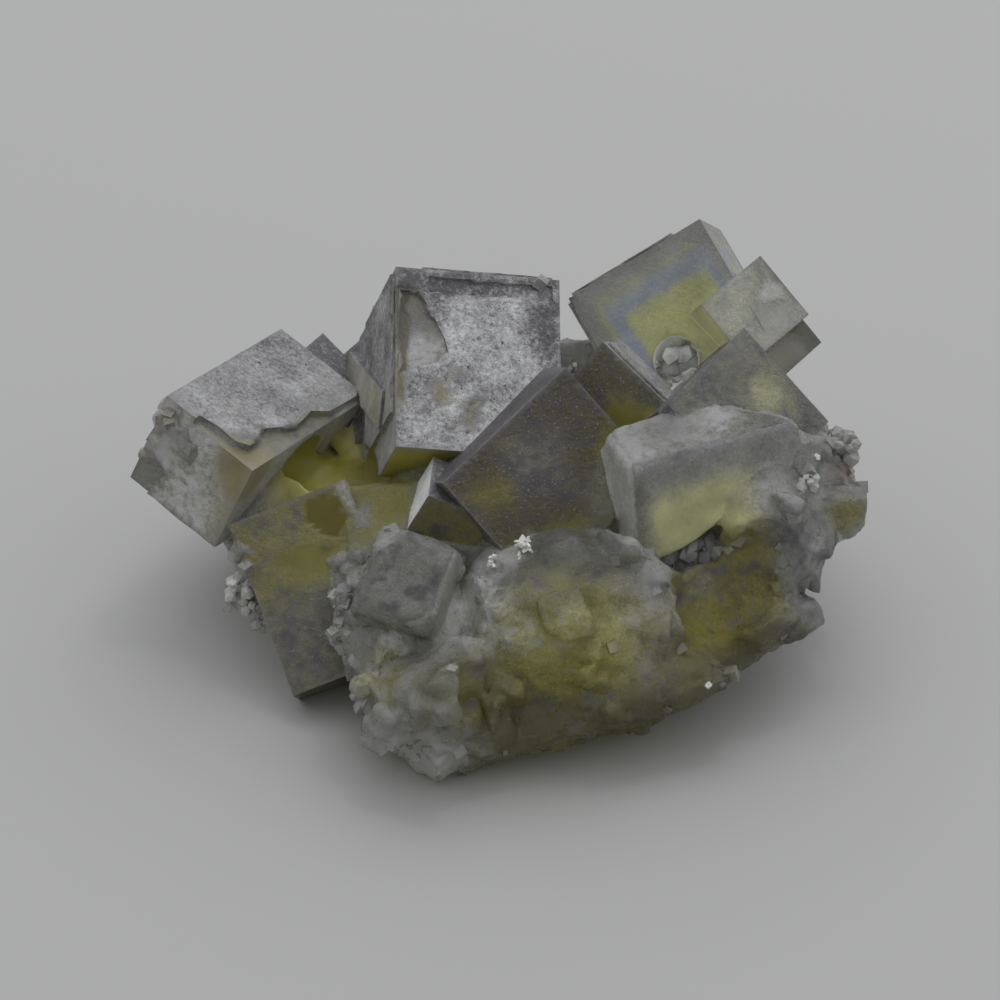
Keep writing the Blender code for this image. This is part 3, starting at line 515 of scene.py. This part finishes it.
def linear(hex_colour):
    """An sRGB hex colour as linear RGBA."""
    values = [int(hex_colour[i : i + 2], 16) / 255 for i in (1, 3, 5)]
    turned = [v / 12.92 if v <= 0.04045 else ((v + 0.055) / 1.055) ** 2.4 for v in values]
    return (*turned, 1.0)


def look_values(look):
    """A look as one row of paint: red, green, blue, skin, paleness, clearness, relief."""
    body, skin, pale, clear, relief = LOOKS[look]
    return np.array([*linear(BODY[body])[:3], skin, pale, clear, relief])


def shifted(point):
    """A point of the tables as metres in the object's frame."""
    return Vector([(p + s) * MM for p, s in zip(point, SHIFT)])


def axes_of(cube):
    """A cube's rotation as a matrix whose columns are its own axes."""
    return np.array(Euler([math.radians(angle) for angle in CUBES[cube][2]]).to_matrix())


def new_object(name, mesh):
    """An object with the given mesh, in the scene."""
    made = bpy.data.objects.new(name, mesh)
    bpy.context.scene.collection.objects.link(made)
    return made


def node(tree, kind, inputs, stops=None, **settings):
    """Adds a node, sets it up, and fills or links its inputs by name or number."""
    made = tree.nodes.new(kind)
    for name, value in settings.items():
        setattr(made, name, value)
    for place, colour in stops or []:
        made.color_ramp.elements.new(place).color = colour
    if stops:
        made.color_ramp.elements.remove(made.color_ramp.elements[0])
        made.color_ramp.elements.remove(made.color_ramp.elements[-1])
    for key, value in inputs.items():
        if isinstance(value, bpy.types.NodeSocket):
            tree.links.new(value, made.inputs[key])
        else:
            made.inputs[key].default_value = value
    return made


def cut_fine(build):
    """Halves long edges until no triangle is large, and leaves every crease where it is."""
    bmesh.ops.remove_doubles(build, verts=build.verts, dist=MERGED)
    for _ in range(CELL_ROUNDS):
        lengths = {edge: edge.calc_length() for edge in build.edges}
        picked = []
        for edge, length in lengths.items():
            longest = max(lengths[side] for face in edge.link_faces for side in face.edges)
            if length > CELL * MM and length >= LONGEST_SHARE * longest:
                picked.append(edge)
        bmesh.ops.subdivide_edges(build, edges=picked, cuts=1)
        wide = [face for face in build.faces if len(face.verts) > 3]
        bmesh.ops.triangulate(build, faces=wide, quad_method="SHORT_EDGE", ngon_method="BEAUTY")
    flat = []
    for vert in build.verts:
        if all(edge.calc_face_angle(0) < FLAT_ANGLE for edge in vert.link_edges):
            flat.append(vert)
    for _ in range(FLAT_ROUNDS):
        bmesh.ops.smooth_vert(
            build, verts=flat, factor=0.5, use_axis_x=True, use_axis_y=True, use_axis_z=True
        )


def fine_mesh(source, name):
    """A closed, finely cut copy of a CAD node's mesh."""
    build = bmesh.new()
    build.from_mesh(source.data)
    cut_fine(build)
    mesh = bpy.data.meshes.new(name)
    build.to_mesh(mesh)
    build.free()
    return mesh


def read(items, field, width):
    """A field of a mesh's items as an array."""
    values = np.empty(len(items) * width, np.float32 if width > 1 else np.int32)
    items.foreach_get(field, values)
    return values.reshape(-1, width) if width > 1 else values


def face_owners(middles, normals):
    """For every triangle, the crystal face that it lies on, or -1 on the broken base."""
    faces = []
    owner = np.full(len(middles), -1)
    nearest = np.full(len(middles), FACE_REACH)
    for cube, (size, middle, _) in CUBES.items():
        axes = axes_of(cube)
        place = (middles - middle) @ axes
        facing = normals @ axes
        half = np.array(size) / 2
        for axis in range(3):
            others = [other for other in range(3) if other != axis]
            for side in (-1, 1):
                gap = np.abs(side * place[:, axis] - half[axis])
                fits = (side * facing[:, axis] > FACE_FACING) & (gap < nearest)
                for other in others:
                    fits &= np.abs(place[:, other]) < half[other] + FACE_MARGIN
                owner[fits] = len(faces)
                nearest[fits] = gap[fits]
                faces.append((cube, axis, side))
    return owner, faces


def inside_by(points, outline):
    """How far each flat point is inside an outline, in mm, and negative outside."""
    corners = np.array(outline)
    nearest = np.full(len(points), np.inf)
    inside = np.zeros(len(points), bool)
    for start, end in zip(corners, np.roll(corners, -1, axis=0)):
        edge = end - start
        share = np.clip((points - start) @ edge / (edge @ edge), 0.0, 1.0)
        gap = points - start - share[:, None] * edge
        nearest = np.minimum(nearest, np.hypot(gap[:, 0], gap[:, 1]))
        crosses = (start[1] > points[:, 1]) != (end[1] > points[:, 1])
        slope = edge[0] / (edge[1] or 1e-9)
        inside ^= crosses & (points[:, 0] < start[0] + (points[:, 1] - start[1]) * slope)
    return np.where(inside, nearest, -nearest)


def soft_step(values, width):
    """0 below -width, 1 above width, and smooth between them."""
    share = np.clip(values / width / 2 + 0.5, 0.0, 1.0)
    return share * share * (3 - 2 * share)


def lay(paint, where, weight, look):
    """Lays a look over the paint at the corners in where."""
    paint[where] += (look_values(look) - paint[where]) * weight[:, None]


def zone_colours(places, half, crowding):
    """The growth zones' colours at places on a face whose half size is half."""
    depths = np.column_stack([half + places, half - places])[:, [0, 2, 1, 3]]
    depth = np.min(depths * crowding + NO_ZONES * (crowding == 0), axis=1)
    stops = [stop for stop, _ in ZONES]
    colours = np.array([linear(BODY[colour])[:3] for _, colour in ZONES])
    return np.column_stack([np.interp(depth, stops, channel) for channel in colours.T])


def painted(mesh):
    """The paint at each corner of the mesh, the paler rims along the crystals' edges, and which
    cube it is on.
    """
    count = len(mesh.polygons)
    points = read(mesh.vertices, "co", 3).astype(float) / MM - np.array(SHIFT)
    corner_vertex = read(mesh.loops, "vertex_index", 1)
    middles = points[corner_vertex].reshape(count, 3, 3).mean(1)
    owner, faces = face_owners(middles, read(mesh.polygons, "normal", 3))
    owner = np.repeat(owner, 3)
    noise.seed_set(RUFFLE_SEED)
    waves = np.array([noise.noise_vector(Vector(p / RUFFLE_SIZE)) for p in points])
    places = (points + waves * RUFFLE)[corner_vertex]
    exact = points[corner_vertex]

    paint = np.tile(look_values(BASE_LOOK), (len(owner), 1))
    rims = np.zeros(len(owner))
    on_face = {}
    for index, face in enumerate(faces):
        cube, axis, _ = face
        where = np.flatnonzero(owner == index)
        if not len(where):
            continue
        size, middle, _ = CUBES[cube]
        others = [other for other in range(3) if other != axis]
        half = np.array(size)[others] / 2
        flat = ((exact[where] - middle) @ axes_of(cube))[:, others]
        uneven = ((places[where] - middle) @ axes_of(cube))[:, others]
        inset = np.min(half - np.abs(flat), axis=1)
        rims[where] = np.clip(1 - inset / RIM_WIDTH, 0, 1)
        usual = CUBE_LOOKS.get(cube, FACE_LOOK)
        lay(paint, where, np.ones(len(where)), FACE_LOOKS.get(face, usual))
        on_face[face] = (where, uneven)
        if face in ZONED_FACES:
            crowding = np.array(ZONED_FACES[face])
            paint[where, :3] = zone_colours((flat + uneven) / 2, half, crowding)
    for cube, axis, side, look, soft, strength, outline in PATCHES:
        if (cube, axis, side) in on_face:
            where, flat = on_face[(cube, axis, side)]
            lay(paint, where, strength * soft_step(inside_by(flat, outline), soft), look)
    cube_of = np.array([""] + [face[0] for face in faces])[owner + 1]
    for middle, half, soft, look, strength, kind in SPOTS:
        if kind == "all":
            where = np.arange(len(owner))
        else:
            where = np.flatnonzero(cube_of == ("" if kind == "base" else kind))
        away = np.linalg.norm((places[where] - middle) / half, axis=1)
        depth = (1 - away) * min(half)
        lay(paint, where, strength * soft_step(depth, soft), look)
    return paint, rims, cube_of


def smoothed(points, edges, weight, rounds):
    """Draws points towards the middle of their neighbours, as strongly as weight says."""
    count = np.bincount(edges.ravel(), minlength=len(points))[:, None]
    for _ in range(rounds):
        total = np.zeros_like(points)
        np.add.at(total, edges[:, 0], points[edges[:, 1]])
        np.add.at(total, edges[:, 1], points[edges[:, 0]])
        points = points + (total / count - points) * weight[:, None] * 0.5
    return points


def worn(mesh, paint, cube_of):
    """Rounds the broken base a little, and what is glassy or worn more."""
    corner_vertex = read(mesh.loops, "vertex_index", 1)
    edges = np.empty(len(mesh.edges) * 2, np.int32)
    mesh.edges.foreach_get("vertices", edges)
    edges = edges.reshape(-1, 2)
    points = read(mesh.vertices, "co", 3).astype(float)
    on_base = np.ones(len(points))
    np.minimum.at(on_base, corner_vertex, (cube_of == "").astype(float))
    points = smoothed(points, edges, on_base, BASE_WEAR)
    relief = np.zeros(len(points))
    np.maximum.at(relief, corner_vertex, paint[:, 6])
    points = smoothed(points, edges, on_base * (relief < GLASSY_RELIEF), GLASSY_WEAR)
    for cube, rounds in WORN_CUBES.items():
        weight = np.zeros(len(points))
        np.maximum.at(weight, corner_vertex, (cube_of == cube).astype(float))
        points = smoothed(points, edges, weight, rounds)
    points[:, 2] = np.maximum(points[:, 2], 0.0)
    mesh.vertices.foreach_set("co", points.astype(np.float32).ravel())
    mesh.update()


def crumb_height(point, size):
    """The height of broken, crystalline crumb: each cell is one facet with its own tilt."""
    place = Vector(point) / size
    _, cells = noise.voronoi(place)
    tilt = noise.cell_vector(cells[0] * CRUMB_SHUFFLE) - Vector((0.5, 0.5, 0.5))
    return (place - cells[0]).dot(tilt) * size


def roughen(mesh, paint):
    """Moves the surface in and out by the relief that its paint asks for."""
    corner_vertex = read(mesh.loops, "vertex_index", 1)
    relief = np.full(len(mesh.vertices), np.inf)
    np.minimum.at(relief, corner_vertex, paint[:, 6])
    points = read(mesh.vertices, "co", 3).astype(float)
    normals = read(mesh.vertices, "normal", 3)
    height = np.zeros(len(points))
    for size, share in RELIEF_WAVES:
        height += share * np.array([noise.noise(Vector(p / (size * MM))) for p in points])
    height *= np.minimum(relief, SMOOTHEST_CRUMB)
    crumbly = np.flatnonzero(relief > SMOOTHEST_CRUMB)
    for size, share in CRUMB_CELLS:
        facets = np.array([crumb_height(points[index] / MM, size) for index in crumbly])
        height[crumbly] += share * facets * (relief[crumbly] - SMOOTHEST_CRUMB) / CRUMB_FULL
    points += normals * (height * MM)[:, None]
    points[:, 2] = np.maximum(points[:, 2], 0.0)
    mesh.vertices.foreach_set("co", points.astype(np.float32).ravel())
    mesh.update()


def store(mesh, name, values):
    """Keeps values for every corner, as a colour that the material reads."""
    layer = mesh.color_attributes.new(name, "FLOAT_COLOR", "CORNER")
    layer.data.foreach_set("color", values.astype(np.float32).ravel())


def summed(tree, start, grain, shares):
    """A value with shares of several noises added to it."""
    total = start
    for name, share in shares.items():
        total = node(
            tree, "ShaderNodeMath", {0: grain[name], 1: share, 2: total}, operation="MULTIPLY_ADD"
        ).outputs[0]
    return total


def zoned_fluorite():
    """Natural fluorite, grown in cubes.

    Inside it is glassy, with olive and yellow zones that darken with depth. Its skins are
    etched: they look like frosted, mauve-grey metal with dark pits and a soft sheen.
    """
    made = bpy.data.materials.new(SLOT)
    made.use_nodes = True
    tree = made.node_tree
    tree.nodes.clear()
    place = node(tree, "ShaderNodeTexCoord", {}).outputs["Object"]
    in_mm = node(tree, "ShaderNodeMapping", {"Vector": place, "Scale": (1 / MM,) * 3}).outputs[0]
    grain = {}
    for name, (size, detail, roughness) in NOISES.items():
        grain[name] = node(
            tree, "ShaderNodeTexNoise",
            {"Vector": in_mm, "Scale": 1 / size, "Detail": detail, "Roughness": roughness},
        ).outputs["Fac"]
    body = node(tree, "ShaderNodeAttribute", {}, attribute_name="body").outputs
    finish = node(tree, "ShaderNodeAttribute", {}, attribute_name="finish").outputs["Color"]
    skin, pale, clear = node(tree, "ShaderNodeSeparateColor", {"Color": finish}).outputs

    # the skin thins out in patches where it covers only part of the crystal
    patchy = summed(tree, skin, grain, SKIN_PATCHES)
    cover = node(
        tree, "ShaderNodeMapRange",
        {"Value": patchy, "From Min": BARE_BELOW, "From Max": COVERED_ABOVE},
        interpolation_type="SMOOTHSTEP",
    ).outputs[0]

    # where it is thick it is etched: pale crust with fine grain and sparse dark scratches
    etched = node(
        tree, "ShaderNodeMapRange", {"Value": skin, "From Min": 0.6, "From Max": 0.9}
    ).outputs[0]
    scratches = node(
        tree, "ShaderNodeMapRange",
        {"Value": grain["scratched"], "From Min": 0.6, "From Max": 0.68, "To Max": SCRATCHED},
        interpolation_type="SMOOTHSTEP",
    ).outputs[0]
    uneven = summed(tree, -SKIN_MEAN, grain, SKIN_GRAIN)
    uneven = node(tree, "ShaderNodeMath", {0: uneven, 1: scratches}, operation="ADD").outputs[0]
    tone = node(
        tree, "ShaderNodeMath", {0: uneven, 1: etched, 2: pale}, operation="MULTIPLY_ADD"
    ).outputs[0]
    skin_colour = node(
        tree, "ShaderNodeValToRGB", {"Fac": tone},
        stops=[(level, linear(colour)) for level, colour in SKIN_TONES],
    ).outputs["Color"]

    # the crystal under it is cloudy, and gritty unless it is bare or clear
    cloudy = node(
        tree, "ShaderNodeMapRange",
        {"Value": grain["clouds"], "From Min": 0.3, "From Max": 0.7,
         "To Min": DARK_CLOUD, "To Max": PALE_CLOUD},
    ).outputs[0]
    gritty = node(
        tree, "ShaderNodeMapRange", {"Value": skin, "From Min": 0.05, "From Max": 0.4}
    ).outputs[0]
    milky = node(
        tree, "ShaderNodeMapRange",
        {"Value": clear, "From Min": 0.55, "From Max": 0.8, "To Min": 1.0, "To Max": 0.3},
    ).outputs[0]
    gritty = node(tree, "ShaderNodeMath", {0: gritty, 1: milky}, operation="MULTIPLY").outputs[0]
    grit = summed(tree, -BODY_MEAN, grain, BODY_GRAIN)
    tone = node(
        tree, "ShaderNodeMath", {0: grit, 1: gritty, 2: cloudy}, operation="MULTIPLY_ADD"
    ).outputs[0]
    tone = node(tree, "ShaderNodeMath", {0: tone, 1: DARKEST_GRIT}, operation="MAXIMUM").outputs[0]
    colour = node(
        tree, "ShaderNodeVectorMath", {0: body["Color"], "Scale": tone}, operation="SCALE"
    ).outputs[0]
    colour = node(
        tree, "ShaderNodeMix", {0: cover, MIX_FROM: colour, MIX_TO: skin_colour}, data_type="RGBA"
    ).outputs[MIXED]

    # single bright flecks, where the crystal is gritty and isn't etched: tiny pale grains, and
    # partly painted sparkle
    flecks = node(
        tree, "ShaderNodeTexVoronoi", {"Vector": in_mm, "Scale": 1 / FLECK_CELL, "Randomness": 1.0}
    ).outputs
    bright = node(
        tree, "ShaderNodeMapRange",
        {"Value": flecks["Distance"], "From Min": FLECK_EDGE, "From Max": FLECK_CORE},
        interpolation_type="SMOOTHSTEP",
    ).outputs[0]
    chosen = node(tree, "ShaderNodeSeparateColor", {"Color": flecks["Color"]}).outputs[0]
    chosen = node(
        tree, "ShaderNodeMath", {0: chosen, 1: FLECKLESS}, operation="GREATER_THAN"
    ).outputs[0]
    bare = node(
        tree, "ShaderNodeMapRange", {"Value": etched, "To Min": FLECK_STRENGTH, "To Max": 0.0}
    ).outputs[0]
    for share in (chosen, bare, gritty):
        bright = node(
            tree, "ShaderNodeMath", {0: bright, 1: share}, operation="MULTIPLY"
        ).outputs[0]
    colour = node(
        tree, "ShaderNodeMix", {0: bright, MIX_FROM: colour, MIX_TO: linear(FLECK_COLOUR)},
        data_type="RGBA",
    ).outputs[MIXED]

    # a paler line along the crystals' edges
    rim = node(
        tree, "ShaderNodeMath", {0: body["Alpha"], 1: grain["hammered"]}, operation="MULTIPLY"
    ).outputs[0]
    colour = node(
        tree, "ShaderNodeMix", {0: rim, MIX_FROM: colour, MIX_TO: linear(RIM_COLOUR)},
        data_type="RGBA",
    ).outputs[MIXED]

    # light passes where the crystal is clear, and less where a skin covers it
    seen = node(
        tree, "ShaderNodeMapRange", {"Value": cover, "To Min": 1.0, "To Max": THROUGH_SKIN}
    ).outputs[0]
    through = node(tree, "ShaderNodeMath", {0: clear, 1: seen}, operation="MULTIPLY").outputs[0]
    glossy = node(
        tree, "ShaderNodeMapRange",
        {"Value": clear, "From Min": 0.35, "From Max": 0.9,
         "To Min": DULL_GLASS, "To Max": GLOSSY_GLASS},
    ).outputs[0]
    roughness = node(
        tree, "ShaderNodeMix", {"Factor": cover, "A": glossy, "B": SKIN_ROUGHNESS},
        data_type="FLOAT",
    ).outputs[0]
    height = summed(tree, grain["hammered"], grain, BUMP_GRAIN)
    depth = node(
        tree, "ShaderNodeMapRange", {"Value": gritty, "To Min": SMOOTH_BUMP, "To Max": 1.0}
    ).outputs[0]
    height = node(tree, "ShaderNodeMath", {0: height, 1: depth}, operation="MULTIPLY").outputs[0]
    bump = node(
        tree, "ShaderNodeBump",
        {"Height": height, "Strength": BUMP_STRENGTH, "Distance": BUMP_DEPTH * MM},
    ).outputs[0]
    shader = node(
        tree, "ShaderNodeBsdfPrincipled",
        {"Base Color": colour, "Roughness": roughness, "IOR": FLUORITE_IOR,
         "Transmission Weight": through, "Normal": bump},
    )
    tint = node(
        tree, "ShaderNodeVolumeAbsorption",
        {"Color": linear(DEPTH_COLOUR), "Density": DEPTH_DENSITY},
    )
    node(
        tree, "ShaderNodeOutputMaterial",
        {"Surface": shader.outputs[0], "Volume": tint.outputs[0]},
    )
    return made


def plain(name, colour, roughness):
    """A plain matt material for the floor."""
    made = bpy.data.materials.new(name)
    made.use_nodes = True
    shader = made.node_tree.nodes["Principled BSDF"]
    shader.inputs["Base Color"].default_value = linear(colour)
    shader.inputs["Roughness"].default_value = roughness
    return made


def zoned_crystals(source, finish):
    """The whole cluster as one fine, closed mesh with its paint."""
    mesh = fine_mesh(source, "zoned_crystals")
    paint, rims, cube_of = painted(mesh)
    worn(mesh, paint, cube_of)
    roughen(mesh, paint)
    store(mesh, "body", np.column_stack([paint[:, :3], rims]))
    store(mesh, "finish", np.column_stack([paint[:, 3:6], cube_of == ""]))
    mesh.materials.clear()
    mesh.materials.append(finish)
    mesh.polygons.foreach_set("use_smooth", np.ones(len(mesh.polygons), bool))
    mesh.set_sharp_from_angle(angle=math.radians(CREASE_ANGLE))
    return new_object("zoned_crystals", mesh)


def druse_tree(finish):
    """A tree that grows small crystals where the surface's druse value is high."""
    tree = bpy.data.node_groups.new("druse", "GeometryNodeTree")
    tree.interface.new_socket("Geometry", in_out="INPUT", socket_type="NodeSocketGeometry")
    for name in ("Density", "Smallest", "Largest", "Tilt", "Sunk"):
        tree.interface.new_socket(name, in_out="INPUT", socket_type="NodeSocketFloat")
    tree.interface.new_socket("Geometry", in_out="OUTPUT", socket_type="NodeSocketGeometry")
    given = node(tree, "NodeGroupInput", {}).outputs
    crowd = node(tree, "GeometryNodeInputNamedAttribute", {"Name": "druse"}, data_type="FLOAT")
    density = node(
        tree, "ShaderNodeMath", {0: crowd.outputs["Attribute"], 1: given["Density"]},
        operation="MULTIPLY",
    )
    spread = node(
        tree, "GeometryNodeDistributePointsOnFaces",
        {"Mesh": given["Geometry"], "Density": density.outputs[0], "Seed": DRUSE_SEED},
    ).outputs
    cube = node(tree, "GeometryNodeMeshCube", {"Size": (1.0, 1.0, 1.0)}).outputs["Mesh"]
    less = node(
        tree, "ShaderNodeMath", {0: given["Tilt"], 1: -1.0}, operation="MULTIPLY"
    ).outputs[0]
    tilt = node(
        tree, "FunctionNodeRandomValue", {"Min": less, "Max": given["Tilt"], "Seed": DRUSE_SEED},
        data_type="FLOAT_VECTOR",
    ).outputs["Value"]
    turned = node(
        tree, "FunctionNodeRotateRotation", {"Rotation": spread["Rotation"], "Rotate By": tilt},
        rotation_space="LOCAL",
    ).outputs[0]
    size = node(
        tree, "FunctionNodeRandomValue",
        {"Min": given["Smallest"], "Max": given["Largest"], "Seed": DRUSE_SEED + 1},
        data_type="FLOAT",
    )
    size = [out for out in size.outputs if out.name == "Value" and out.enabled][0]
    grown = node(
        tree, "GeometryNodeInstanceOnPoints",
        {"Points": spread["Points"], "Instance": cube, "Rotation": turned, "Scale": size},
    ).outputs[0]
    drop = node(
        tree, "ShaderNodeMath", {0: given["Sunk"], 1: -1.0}, operation="MULTIPLY"
    ).outputs[0]
    drop = node(tree, "ShaderNodeCombineXYZ", {"Z": drop}).outputs[0]
    placed = node(
        tree, "GeometryNodeTranslateInstances",
        {"Instances": grown, "Translation": drop, "Local Space": True},
    ).outputs[0]
    real = node(tree, "GeometryNodeRealizeInstances", {"Geometry": placed}).outputs[0]
    dressed = node(
        tree, "GeometryNodeSetMaterial", {"Geometry": real, "Material": finish}
    ).outputs[0]
    node(tree, "NodeGroupOutput", {"Geometry": dressed})
    return tree


def druse(crystals, finish):
    """Small crystals grown on the broken base, as one plain mesh."""
    ground = crystals.data.copy()
    points = read(ground.vertices, "co", 3).astype(float) / MM - np.array(SHIFT)
    finishes = np.empty((len(ground.loops), 4), np.float32)
    ground.color_attributes["finish"].data.foreach_get("color", finishes.ravel())
    corner_vertex = read(ground.loops, "vertex_index", 1)
    on_base = np.ones(len(points))
    np.minimum.at(on_base, corner_vertex, finishes[:, 3])
    rough = np.ones(len(points))
    np.minimum.at(rough, corner_vertex, soft_step(finishes[:, 0] - BARE_SKIN, BARE_SKIN))
    crowd = DRUSE_EVERYWHERE * rough
    for middle, half, share in DRUSE:
        away = np.linalg.norm((points - middle) / half, axis=1)
        crowd = np.maximum(crowd, share * soft_step((1 - away) * min(half), DRUSE_SOFT))
    bodies = np.empty((len(ground.loops), 4), np.float32)
    ground.color_attributes["body"].data.foreach_get("color", bodies.ravel())
    grain = look_values("clear_grain")
    bodies[:, :3] += (grain[:3] - bodies[:, :3]) * DRUSE_PALENESS
    finishes[:, :3] = grain[3:6]
    ground.color_attributes["body"].data.foreach_set("color", bodies.ravel())
    ground.color_attributes["finish"].data.foreach_set("color", finishes.ravel())
    layer = ground.attributes.new("druse", "FLOAT", "POINT")
    crowd *= on_base * (points[:, 2] > DRUSE_LOWEST)
    layer.data.foreach_set("value", crowd.astype(np.float32))
    grower = new_object("druse_ground", ground)
    modifier = grower.modifiers.new("druse", "NODES")
    modifier.node_group = druse_tree(finish)
    values = {
        "Density": DRUSE_DENSITY / MM**2,
        "Smallest": DRUSE_SIZES[0] * MM,
        "Largest": DRUSE_SIZES[1] * MM,
        "Tilt": DRUSE_TILT,
        "Sunk": DRUSE_SUNK,
    }
    for socket in modifier.node_group.interface.items_tree:
        if socket.name in values:
            modifier[socket.identifier] = values[socket.name]
    seen = grower.evaluated_get(bpy.context.evaluated_depsgraph_get())
    mesh = bpy.data.meshes.new_from_object(seen)
    mesh.name = "druse"
    bpy.data.objects.remove(grower)
    return new_object("druse", mesh)


def glints(finish):
    """Clusters of uneven white flakes, mostly painted highlights and some white chips, and of
    clear grains and grains painted paler in shade, as one mesh.
    """
    chance = random.Random(GLINT_SEED)
    build = bmesh.new()
    paint = []
    for middle, half, count, sizes, look in GLINTS:
        for _ in range(count):
            place = Vector([m + h * chance.uniform(-1, 1) for m, h in zip(middle, half)])
            turn = Euler([chance.uniform(-math.pi, math.pi) for _ in range(3)]).to_matrix()
            size = chance.uniform(*sizes)
            if look == "white_grain_and_painted_light":
                made = bmesh.ops.create_cube(build, size=size)["verts"]
                spread, thickness = FLAKE_SPREAD, FLAKE_THICKNESS
            else:
                made = bmesh.ops.create_icosphere(build, subdivisions=1, radius=size / 2)["verts"]
                spread, thickness = GRAIN_SPREAD, GRAIN_THICKNESS
            for vert in made:
                vert.co.z *= thickness
                vert.co = shifted(place + turn @ (vert.co * chance.uniform(*spread)))
            faces = {face for vert in made for face in vert.link_faces}
            paint += [look_values(look)] * sum(len(face.verts) for face in faces)
    mesh = bpy.data.meshes.new("glints")
    build.to_mesh(mesh)
    build.free()
    mesh.materials.append(finish)
    paint = np.array(paint)
    store(mesh, "body", np.column_stack([paint[:, :3], np.zeros(len(paint))]))
    store(mesh, "finish", np.column_stack([paint[:, 3:6], np.ones(len(paint))]))
    return new_object("glints", mesh)


def light(name, place, size, energy):
    """A square white lamp that shines at the specimen."""
    lamp = bpy.data.lights.new(name, "AREA")
    lamp.size = size
    lamp.energy = energy
    made = new_object(name, lamp)
    made.location = place
    made.rotation_mode = "QUATERNION"
    made.rotation_quaternion = (shifted(AIM) - made.location).to_track_quat("-Z", "Y")


def studio():
    """Floor, lamps, soft surroundings and the camera."""
    build = bmesh.new()
    bmesh.ops.create_grid(build, x_segments=1, y_segments=1, size=FLOOR_HALF)
    floor_mesh = bpy.data.meshes.new("floor")
    build.to_mesh(floor_mesh)
    build.free()
    floor_mesh.materials.append(plain("pale_matt_floor", FLOOR_COLOUR, FLOOR_ROUGHNESS))
    new_object("floor", floor_mesh)

    for name, place, size, energy in LAMPS:
        light(name, place, size, energy)
    world = bpy.data.worlds.new("studio")
    bpy.context.scene.world = world
    world.use_nodes = True
    tree = world.node_tree
    way = node(tree, "ShaderNodeTexCoord", {}).outputs["Generated"]
    toward = node(tree, "ShaderNodeVectorMath", {0: way, 1: SKY_WAY}, operation="DOT_PRODUCT")
    bright = node(
        tree, "ShaderNodeMapRange",
        {"Value": toward.outputs["Value"], "From Min": -0.1, "From Max": 1.0,
         "To Min": DIM_SKY, "To Max": BRIGHT_SKY},
    )
    sky = tree.nodes["Background"]
    sky.inputs["Color"].default_value = linear(SKY_COLOUR)
    tree.links.new(bright.outputs[0], sky.inputs["Strength"])
    bpy.context.scene.view_settings.view_transform = "Standard"

    angle = math.radians(CAMERA_ANGLE)
    back = Vector((0.0, -math.cos(angle), math.sin(angle)))
    camera = new_object("camera", bpy.data.cameras.new("camera"))
    camera.location = shifted(AIM) + back * CAMERA_DISTANCE * MM
    camera.rotation_mode = "QUATERNION"
    camera.rotation_quaternion = (-back).to_track_quat("-Z", "Y")
    camera.data.sensor_width = SENSOR_WIDTH
    camera.data.lens = SENSOR_WIDTH * CAMERA_DISTANCE / VIEW_WIDTH
    camera.data.clip_start = NEAREST_SEEN
    bpy.context.scene.camera = camera


def main():
    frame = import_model()
    studio()
    fluorite = zoned_fluorite()
    crystals = zoned_crystals(frame["nodes"][NODE], fluorite)
    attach(crystals, "root")
    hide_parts(NODE)
    for piece in (crystals, druse(crystals, fluorite), glints(fluorite)):
        if piece is not crystals:
            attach(piece, "root")


main()
